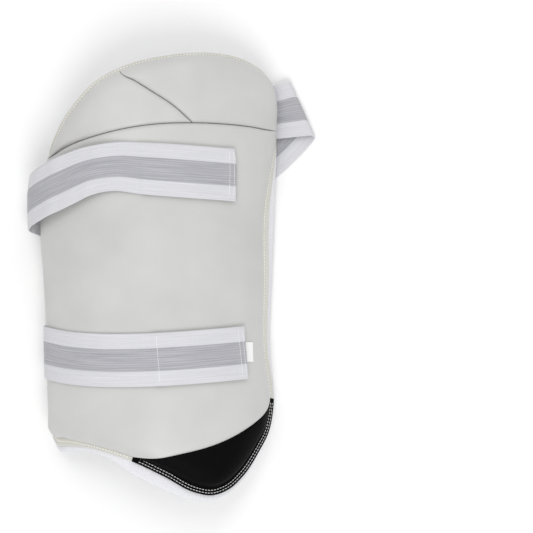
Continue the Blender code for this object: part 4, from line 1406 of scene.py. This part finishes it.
@dataclass
class Liner:
    """The padded towelling liner that lies on the thigh, with a soft rounded rim."""

    cell: float = 0.0032
    rim_stops: Points = field(default_factory=lambda: np.array(
        [0.0, 0.0003, 0.0009, 0.0018, 0.0030, 0.0045, 0.0065, 0.009, 0.0125, 0.0165]))
    rim_under: float = 1.2
    points: int = 400

    def build(self) -> None:
        """Makes and dresses the liner."""
        corner, shoulder = EDGE.place("corner_left"), EDGE.place("shoulder")
        start = RELIEF.toe_right - EDGE.total
        bottom = EDGE.run(corner, RELIEF.toe_right, EDGE.rim_depth, self.points)
        right = EDGE.run(start, shoulder, EDGE.rim_depth)
        top = EDGE.run(shoulder, RELIEF.flex_left, EDGE.rim_depth, self.points)[::-1]
        left = EDGE.run(RELIEF.flex_left, corner, EDGE.rim_depth)[::-1]
        across = stops(span(top), self.rim_stops, self.rim_stops, int(span(top) / self.cell))
        along = stops(span(left), self.rim_stops, self.rim_stops, int(span(left) / self.cell))
        grid = patch((bottom, top, left, right), across, along)
        near = distance(grid.reshape(-1, 2), RELIEF.rim).reshape(grid.shape[:2])
        rounded = 1 - quarter_round(near / RIM_ROLL)
        upper = -RIM_DROP * rounded
        lower = -RELIEF.liner(grid) + self.rim_under * RIM_DROP * rounded
        made = sheet_solid("towelling_liner", ARCH.raised(grid, upper),
                           ARCH.raised(grid, lower), grid, LINER)
        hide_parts("back_liner")


# Straps


def hull(points: Points) -> Points:
    """Leaves out the points of a counterclockwise chain that lie inside its convex outline.

    Args:
        points: Rows of two numbers.

    Returns:
        The points that are left.
    """
    kept = []
    for p in points:
        while len(kept) > 1:
            a, b = kept[-1] - kept[-2], p - kept[-2]
            if a[0] * b[1] - a[1] * b[0] > 0:
                break
            kept.pop()
        kept.append(p)
    return np.array(kept)


def around(chain: Points, clear: float) -> Points:
    """Moves an open convex chain outwards by clear, with round corners.

    Args:
        chain: The chain, with its outer side at its right.
        clear: Metres to move it.

    Returns:
        The moved chain.
    """
    out = []
    ways = np.diff(chain, axis=0)
    befores, afters = np.vstack([ways[:1], ways]), np.vstack([ways, ways[-1:]])
    for point, before, after in zip(chain, befores, afters):
        start = math.atan2(-before[0], before[1])
        turn = (math.atan2(-after[0], after[1]) - start + 1e-9) % (2 * math.pi)
        count = max(1, math.ceil(turn / CORNER_STEP))
        for angle in (start + turn * k / count for k in range(count + 1)):
            out.append(point + clear * np.array([math.cos(angle), math.sin(angle)]))
    return np.array(out)


def moved_out(path: Points, by: Points) -> Points:
    """Moves a path outwards, square to itself."""
    way = np.gradient(path, axis=0)
    way /= np.linalg.norm(way, axis=1, keepdims=True) + 1e-12
    return path - turned_left(way) * by[:, None]


def dense(path: Points, step: float = 0.001) -> Points:
    """A path with a point every step."""
    return resample(path, np.linspace(0, 1, int(span(path) / step) + 1))


def left_foot(path: Points) -> float:
    """How far along a path round the pad it comes down to the floor at the left."""
    return float(lengths(path)[int(np.argmax(path[:, 1] < STRAP_LEVEL + 1e-5))])


def pad_section(along: float, end: float) -> Points:
    """The pad's outer points at one section, from a strap's right end over the left edge.

    Args:
        along: Metres from the pad's middle.
        end: Where the strap's right end lies, in metres across.

    Returns:
        Points across and up.
    """
    rim = RELIEF.side_rim(along, RELIEF.hip_top, EDGE.place("corner_left"))
    across = np.linspace(end, rim, SECTION_POINTS)
    points = np.stack([across, np.full_like(across, along)], axis=1)
    low = points[-SECTION_UNDER:]
    tops, lows = ARCH.raised(points, RELIEF.face(points)), ARCH.raised(low, -RELIEF.liner(low))
    return np.vstack([tops, lows])[:, (0, 2)]


def over_patch(path: Points) -> Points:
    """A strap's path, lifted by the hook patch under its right end.

    Args:
        path: The path, across and up.

    Returns:
        The whole path.
    """
    path = dense(path)
    patch_end = PATCH_INSET + PATCH_LENGTH + PATCH_CLEAR
    lift = 1 - eased(lengths(path), patch_end, patch_end + PATCH_SLOPE)
    return moved_out(path, lift * (PATCH_THICKNESS + GAP - STRAP_EASE))


def over_patch_and_slack(path: Points) -> Points:
    """The upper strap's path, which also stands off the face towards the left edge.

    Args:
        path: The path, across and up.

    Returns:
        The whole path.
    """
    path = over_patch(path)
    far, foot = lengths(path), left_foot(path)
    rise = eased(far, SLACK_FROM * foot, SLACK_FULL * foot) * (
        1 - eased(far, SLACK_UNTIL * foot, foot))
    path = moved_out(path, rise * STRAP_SLACK)
    path[:, 1] = np.maximum(path[:, 1], STRAP_LEVEL)
    return path


def under_liner(along: Points, inward: Points, clear: float) -> Points:
    """Points below the liner's right edge.

    Args:
        along: Metres from the pad's middle.
        inward: Metres from the liner's edge.
        clear: How far below the liner.

    Returns:
        Points in space.
    """
    rim = RELIEF.side_rim(along, RELIEF.toe_right - EDGE.total, EDGE.place("shoulder"))
    flat = np.stack(np.broadcast_arrays(rim - inward, np.asarray(along, float)), axis=-1)
    return ARCH.raised(flat, -RELIEF.liner(flat) - clear)


def sewn_tail(path: Points, along: float) -> Points:
    """The lower strap's path, ended by the fold that turns it up on to the liner's back.

    Args:
        path: The path, across and up.
        along: Metres from the pad's middle.

    Returns:
        The whole path.
    """
    inward = np.linspace(SEWN_INSET, SEWN_INSET + SEWN_LENGTH, TAIL_POINTS)
    back = under_liner(np.full_like(inward, along), inward, STRAP_CLEAR)[:, (0, 2)]
    way = unit(back[1] - back[0])
    square = -turned_left(way)
    level = STRAP_LEVEL + FOLD_RADIUS
    centre = np.array([(square @ back[0] - FOLD_RADIUS - square[1] * level) / square[0], level])
    turn = np.linspace(-math.pi / 2, math.atan2(square[1], square[0]), FOLD_POINTS)
    fold = centre + FOLD_RADIUS * np.stack([np.cos(turn), np.sin(turn)], axis=1)
    on = back[(back - fold[-1]) @ way > BAND_END]
    floor = (path[:, 0] < centre[0]) | (path[:, 1] > STRAP_LEVEL + 1e-4)
    kept = path[: len(floor) if floor.all() else int(np.argmin(floor))]
    return np.vstack([kept, fold, on])


@dataclass
class Wrap:
    """Paths round the pad at several sections, so that a band can follow all of them."""

    centre: float
    breadth: float
    end: float
    clear: float
    extra: Optional[Callable] = None
    tail: Optional[Callable] = None
    reach: float = 0.75
    sections: int = 13

    def __post_init__(self) -> None:
        """Draws the paths and lines them up by the place where they meet the floor."""
        reach = self.reach * self.breadth
        self.at = np.linspace(self.centre - reach, self.centre + reach, self.sections)
        self.paths = [dense(self.path(along), PATH_STEP) for along in self.at]
        feet = [left_foot(path) for path in self.paths]
        self.foot = float(np.mean(feet))
        self.far = []
        for path, foot in zip(self.paths, feet):
            far = lengths(path)
            self.far.append(np.where(far < foot, far * self.foot / foot, far - foot + self.foot))

    def path(self, along: float) -> Points:
        """Draws the path at one section, from the band's right end over the left edge.

        Args:
            along: Metres from the pad's middle.

        Returns:
            Points across and up.
        """
        outer = pad_section(along, self.end)
        level = STRAP_LEVEL + self.clear
        foot = [[x, level] for x in (outer[int(np.argmin(outer[:, 1])), 0], outer[0, 0])]
        loop = hull(np.vstack([outer, foot]))
        loop[-1, 0] = PAD_WIDTH
        path = around(loop, self.clear)
        path[:, 1] = np.maximum(path[:, 1], STRAP_LEVEL)
        path = self.extra(path) if self.extra else path
        return self.tail(path, along) if self.tail else path

    def points(self, far: Points, along: Points, out: Points) -> Grid:
        """Reads the wrap.

        Args:
            far: Metres along the paths.
            along: Metres up the pad.
            out: How far outwards, square to the path.

        Returns:
            Points in space.
        """
        far, along, out = np.broadcast_arrays(far, along, out)
        place = np.clip((along - self.at[0]) / (self.at[1] - self.at[0]), 0, len(self.at) - 1.001)
        low = place.astype(int)
        share = (place - low)[..., None]
        found = []
        for own, path in zip(self.far, self.paths):
            square = moved_out(path, np.ones(len(path))) - path
            here, aside = (np.stack([np.interp(far, own, line[:, k]) for k in (0, 1)], axis=-1)
                           for line in (path, square))
            found.append(here + aside * out[..., None])
        found = np.stack(found)
        rows, columns = np.indices(far.shape)
        flat = found[low, rows, columns] * (1 - share) + found[low + 1, rows, columns] * share
        return np.stack([flat[..., 0], along, flat[..., 1]], axis=-1)


@dataclass
class Strap:
    """A band of elastic that goes round the pad and closes on its face over a hook patch."""

    name: str
    node: str
    table: Sequence
    end_share: float
    lines: int = 33
    step: float = 0.0018
    cup: float = 0.0
    crowding: float = 1.35
    tape_grid: tuple[int, int] = (60, 28)
    seam_points: int = 40

    def __post_init__(self) -> None:
        """Works out where the strap runs."""
        self.rows = np.array(self.table)
        self.end = float(ARCH.flat((self.end_share, self.rows[0, 1]))[0])
        share = np.linspace(-1, 1, self.lines)
        self.aside = STRAP_WIDTH / 2 * np.sign(share) * (
            1 - (1 - np.abs(share)) ** self.crowding)

    def places(self, wrap: Wrap, whole: float, last: Sequence[float] = ()) -> Points:
        """Places along the band, close together at its end and round the left edge."""
        fine = np.arange(wrap.foot - FOOT_BEFORE, wrap.foot + FOOT_AFTER, FOOT_STEP)
        head = BAND_END + np.array(HEAD_STOPS)
        return np.unique(np.concatenate([np.arange(BAND_END, whole, self.step), fine, head, last]))

    def follow(self, wrap: Wrap, far: Points, aside: Points, out: Points) -> Grid:
        """Lays a surface of the band along its wrap.

        Args:
            wrap: The wrap.
            far: Metres along it.
            aside: Metres from the band's middle line.
            out: How far outwards each point lies.

        Returns:
            A grid of points.
        """
        reach = STRAP_WIDTH / 4
        behind, along, ahead = (
            smooth(self.rows[:, 0], self.rows[:, 1], place / wrap.foot) * PAD_LENGTH
            for place in (far - reach, far, far + reach))
        slope = np.arctan((ahead - behind) / (2 * reach))[:, None]
        bent = self.cup * np.exp(-((far / wrap.foot - CUP_AT) / CUP_SPREAD) ** 2)[:, None]
        held = aside[None] * (1 - CUP_NARROW * bent)
        bulge = CUP_RISE * bent * (1 - (2 * aside[None] / STRAP_WIDTH) ** 2)
        return wrap.points(far[:, None] - held * np.sin(slope),
                           along[:, None] + held * np.cos(slope), out + bulge)

    def thickness(self, far: Points, tight: bool = False) -> tuple[Grid, Grid]:
        """Works the band's two sides out: thinner at its borders, doubled at its hem.

        Args:
            far: Metres along the band.
            tight: Whether it has no ripples, as where it lies on the floor.

        Returns:
            How far outwards its outer and its inner side lie.
        """
        border = quarter_round((STRAP_WIDTH / 2 - np.abs(self.aside)) / STRAP_BORDER)
        half = STRAP_THICKNESS / 2 * (0.45 + 0.55 * border)[None] * np.ones((len(far), 1))
        hem = HEM_STEP * (1 - eased(far, HEM_LENGTH, HEM_LENGTH + HEM_SLOPE))[:, None]
        ended = 0.4 + 0.6 * quarter_round((far - far[0]) / END_ROUND)[:, None]
        wave = np.sin(far[:, None] * RIPPLE_ALONG + self.aside[None] * RIPPLE_ACROSS)
        ripple = STRAP_RIPPLE * np.maximum(wave, 0) * eased(far, *RIPPLE_RISE)[:, None]
        ripple = ripple * (0.0 if tight else 1.0)
        return (half + hem) * ended + ripple, -half * ended + ripple

    def hooks(self, wrap: Wrap, centre: float, breadth: float) -> Piece:
        """Makes the hook patch between the strap's right end and the face.

        Args:
            wrap: The band's wrap.
            centre: Metres of the band's middle up the pad.
            breadth: How much of the pad it runs over.

        Returns:
            The piece.
        """
        own = Wrap(centre, breadth, self.end, GAP + PATCH_THICKNESS / 2)
        far = np.linspace(PATCH_INSET, PATCH_INSET + PATCH_LENGTH,
                          self.tape_grid[0]) * own.foot / wrap.foot
        aside = np.linspace(-PATCH_WIDTH / 2, PATCH_WIDTH / 2, self.tape_grid[1])
        flat = np.stack(np.meshgrid(far, aside, indexing="ij"), axis=-1)
        top, bottom = (self.follow(own, far, aside, np.full(flat.shape[:2], out))
                       for out in (PATCH_THICKNESS / 2, -PATCH_THICKNESS / 2))
        made = sheet_solid(self.name + "_hook_tape", top, bottom, flat, HOOKS)
        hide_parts(self.node.replace("strap", "hook_patch"))
        return made

    def end_seams(self, wrap: Wrap, places: Sequence[float]) -> Piece:
        """Sews rows of stitches straight across the strap, at places along it.

        Args:
            wrap: The band's wrap.
            places: Metres along the band.

        Returns:
            The piece.
        """
        seams = []
        aside = np.linspace(-SEAM_REACH, SEAM_REACH, self.seam_points) * STRAP_WIDTH
        for place in places:
            far = place + np.array([-0.0005, 0.0, 0.0005])
            lift = STRAP_THICKNESS / 2 + (HEM_STEP if place < HEM_LENGTH else 0.0)
            outer = self.follow(wrap, far, aside, np.full((3, self.seam_points), lift))
            normal = unit(np.cross(np.gradient(outer, axis=1)[1], outer[2] - outer[0]))
            seams.append((outer[1], normal, STRAP_STITCH))
        sewn = stitches(self.node + "_stitches", seams, WHITE_THREAD)
        return sewn

    def make(self, top: Grid, bottom: Grid, sewn_on: Sequence[Piece]) -> None:
        """Turns the band's two sides into a piece.

        Args:
            top: The outer side.
            bottom: The inner side.
            sewn_on: The small pieces that go with it; not used.
        """
        far = lengths((top + bottom)[:, self.lines // 2] / 2)
        flat = np.stack(np.broadcast_arrays(far[:, None], self.aside[None]), axis=-1)
        made = sheet_solid(self.name, top, bottom, flat, WEBBING)
        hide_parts(self.node)
        log.info("%s: %.3f m long", self.name, far[-1])


@dataclass
class LowerStrap(Strap):
    """The lower strap: snug round the left edge, folded and sewn to the liner's back."""

    name: str = "lower_elastic_strap"
    node: str = "lower_strap"
    table: Sequence = LOWER_STRAP
    end_share: float = LOWER_STRAP_END
    seam_share: float = 0.352

    def build(self, tag: Piece) -> None:
        """Makes the strap, its hook tape and its stitches.

        Args:
            tag: The label.
        """
        centre = float(np.mean(self.rows[:, 1])) * PAD_LENGTH
        wrap = Wrap(centre, STRAP_WIDTH, self.end, STRAP_CLEAR, over_patch, sewn_tail)
        whole = min(far[-1] for far in wrap.far) - BAND_END
        far = self.places(wrap, whole, [whole])
        top, bottom = (self.follow(wrap, far, self.aside, side)
                       for side in self.thickness(far, tight=True))
        tape = self.hooks(wrap, centre, STRAP_WIDTH)
        sewn = self.end_seams(wrap, (*HEM_SEAMS, self.seam_share * wrap.foot))
        self.make(top, bottom, [tape, sewn, tag])


@dataclass
class UpperStrap(Strap):
    """The upper strap: loose round the left edge, with a loop that stands out at the right."""

    name: str = "upper_elastic_strap"
    node: str = "upper_strap"
    table: Sequence = UPPER_STRAP
    end_share: float = UPPER_STRAP_END
    cup: float = 1.0
    floor_rows: int = 130
    fold_rows: int = 28
    free_rows: int = 22
    bend_rows: int = 9
    back_rows: int = 18

    def underside(self, start: Points, way: Points, fold: Points) -> Grid:
        """The band on the floor, from the left edge to the loop's fold.

        Args:
            start: Where it begins.
            way: Its direction there.
            fold: The middle of the fold.

        Returns:
            A grid of points.
        """
        ease = UNDERSIDE_EASE * np.linalg.norm(fold - start)
        t = np.linspace(0, 1, self.floor_rows)[:, None]
        one, two = start + way * ease, fold - heading(LOOP_HEADING) * ease
        centres = ((1 - t) ** 3 * start + 3 * (1 - t) ** 2 * t * one
                   + 3 * (1 - t) * t * t * two + t ** 3 * fold)
        square = np.zeros_like(centres)
        square[:, :2] = turned_left(unit(np.gradient(centres, axis=0)))
        fan = eased(t, FAN_FROM, 1.0)
        directions = unit(square * (1 - fan) + heading(LOOP_AXIS) * fan)
        aside = self.aside[None] / np.sum(directions * square, axis=1)[:, None]
        return centres[:, None] + aside[..., None] * directions[:, None]

    def loop_fold(self, line: Points) -> Grid:
        """The free fold at the right: the last flat section turned over about the fold's axis.

        Args:
            line: The section that it starts from.

        Returns:
            A grid of points.
        """
        out, axis = heading(LOOP_AXIS - 90), heading(LOOP_AXIS)
        drift = LOOP_RADIUS * math.tan(math.radians(LOOP_AXIS - 90 - LOOP_HEADING))
        return np.array([
            line + out * LOOP_RADIUS * math.sin(turn) - axis * drift * turn
            + np.array([0, 0, LOOP_RADIUS * (1 - math.cos(turn))])
            for turn in np.linspace(0, math.pi, self.fold_rows)[1:]])

    def sewn_return(self, line: Points) -> Grid:
        """The stretch from the loop back under the pad's right edge, up on to the liner's back.

        Args:
            line: The section that it starts from.

        Returns:
            A grid of points.
        """
        none = np.zeros_like(self.aside)
        along = SEWN_ALONG * PAD_LENGTH + self.aside
        corner = under_liner(along, none, 0.0)
        square = under_liner(along, none, 1.0) - corner
        below = corner + np.array([0, 0, -STRAP_CLEAR])
        free = [line * (1 - t) + below * t for t in np.linspace(0, 1, self.free_rows)[1:]]
        tilts = [np.arctan2(-square[:, 0], -square[:, 2]) * t
                 for t in np.linspace(0, 1, self.bend_rows)[1:]]
        bend = [corner + np.stack([-np.sin(tilt), none, -np.cos(tilt)], axis=1) * STRAP_CLEAR
                for tilt in tilts]
        back = [under_liner(along, none + inward, STRAP_CLEAR)
                for inward in np.linspace(0, SEWN_LENGTH, self.back_rows)[1:]]
        return np.array(free + bend + back)

    def build(self) -> None:
        """Makes the strap with its loop, its hook tape and its stitches."""
        centre = float(self.rows[0, 1] + self.rows[-1, 1]) / 2 * PAD_LENGTH
        breadth = 2 * float(np.ptp(self.rows[:, 1])) * PAD_LENGTH + STRAP_WIDTH
        wrap = Wrap(centre, breadth, self.end, STRAP_CLEAR, over_patch_and_slack)
        far = self.places(wrap, wrap.foot + STRAP_WIDTH / 3)
        half = STRAP_THICKNESS / 2
        sides = self.thickness(far)
        for side, flat in zip(sides, (half, -half)):
            side[far > wrap.foot - FOOT_BEFORE] = flat
        front, top, bottom = (self.follow(wrap, far, self.aside, side)
                              for side in (np.zeros_like(sides[0]), *sides))
        start, before = front[-1, self.lines // 2], front[-2, self.lines // 2]
        fold = np.array([LOOP_ACROSS * PAD_WIDTH, LOOP_ALONG * PAD_LENGTH, STRAP_LEVEL])
        below = self.underside(start, unit(start - before), fold)
        loop = self.loop_fold(below[-1])
        rest = np.vstack([front[-1:], below[1:], loop, self.sewn_return(loop[-1])])
        normal = unit(np.cross(np.gradient(rest, axis=0), np.gradient(rest, axis=1)))
        tape = self.hooks(wrap, centre, breadth)
        sewn = self.end_seams(wrap, HEM_SEAMS)
        self.make(np.vstack([top, (rest - normal * half)[1:]]),
                  np.vstack([bottom, (rest + normal * half)[1:]]), [tape, sewn])


@dataclass
class SizeTag:
    """The bare label tucked under the lower strap's right end."""

    curl: float = 0.0006
    curl_from: float = 0.004
    wave: float = 220.0
    grid: tuple[int, int] = (24, 30)

    def build(self) -> Piece:
        """Makes and dresses the label.

        Returns:
            The piece.
        """
        along = LOWER_STRAP[0][1] * PAD_LENGTH
        start = float(ARCH.flat((LOWER_STRAP_END, LOWER_STRAP[0][1]))[0]) - TAG_TUCK
        far = np.linspace(start, start + TAG_LENGTH, self.grid[0])
        up = np.linspace(along - TAG_WIDTH / 2, along + TAG_WIDTH / 2, self.grid[1])
        grid = np.stack(np.meshgrid(far, up, indexing="ij"), axis=-1)
        rise = self.curl * eased(far, far[0] + self.curl_from, far[-1])[:, None] * (
            0.6 + 0.4 * np.sin((up - along) * self.wave))[None]
        height = RELIEF.face(grid, fine=True) + GAP + rise
        made = sheet_solid("satin_size_label", ARCH.raised(grid, height + TAG_THICKNESS),
                           ARCH.raised(grid, height), grid, LABEL)
        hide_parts("size_tag")
        return made


# The studio


@dataclass
class Studio:
    """A pale floor, soft light from above and a camera at the photograph's angle."""

    size: float = 6.0
    world: str = "ffffff"
    world_strength: float = 0.60
    floor_level: float = -0.0002
    far_clip: float = 20.0

    def floor(self) -> None:
        """Lays the floor."""
        mesh = bmesh.new()
        bmesh.ops.create_grid(mesh, x_segments=1, y_segments=1, size=self.size)
        data = bpy.data.meshes.new("studio_floor")
        mesh.to_mesh(data)
        mesh.free()
        data.materials.append(FLOOR.build())
        made = placed("studio_floor", data)
        made.location.z = self.floor_level

    def lights(self) -> None:
        """Sets the sky, and hangs the soft lights so that they look at the pad."""
        world = bpy.data.worlds.new("studio_sky")
        world.use_nodes = True
        sky = world.node_tree.nodes["Background"]
        sky.inputs["Color"].default_value = linear(self.world)
        sky.inputs["Strength"].default_value = self.world_strength
        bpy.context.scene.world = world
        for name, place, breadth, watts in LIGHTS:
            data = bpy.data.lights.new(name, "AREA")
            data.shape = "DISK"
            data.size = breadth
            data.energy = watts
            made = placed(name, data)
            made.location = place
            made.rotation_euler = (-Vector(place)).to_track_quat("-Z", "Y").to_euler()

    def camera(self) -> None:
        """Sets the camera up."""
        data = bpy.data.cameras.new("studio_camera")
        data.sensor_width = SENSOR
        data.lens = SENSOR * CAMERA_AWAY / PICTURE_WIDTH
        data.clip_end = self.far_clip
        made = placed("studio_camera", data)
        tilt = math.radians(CAMERA_ELEVATION)
        away = Vector((0.0, -math.cos(tilt), math.sin(tilt))) * CAMERA_AWAY
        made.location = Vector(LOOK_AT) + Vector((SHIFT[0], SHIFT[1], 0.0)) + away
        made.rotation_euler = (-away).to_track_quat("-Z", "Y").to_euler()
        bpy.context.scene.camera = made

    def build(self) -> None:
        """Sets the studio up."""
        self.floor()
        self.lights()
        self.camera()
        bpy.context.scene.view_settings.view_transform = "Standard"


def corners(box: Sequence) -> list[list[float]]:
    """A box's two corners as plain lists."""
    return [[float(c) for c in corner] for corner in box]


def main() -> None:
    """Dresses the pad and sets the studio up."""
    logging.basicConfig(level=logging.INFO, format="%(name)s %(message)s")
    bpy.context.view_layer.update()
    Liner().build()
    Flange().build()
    Face().build()
    LowerStrap().build(SizeTag().build())
    UpperStrap().build()
    Studio().build()


if __name__ == "__main__":
    main()
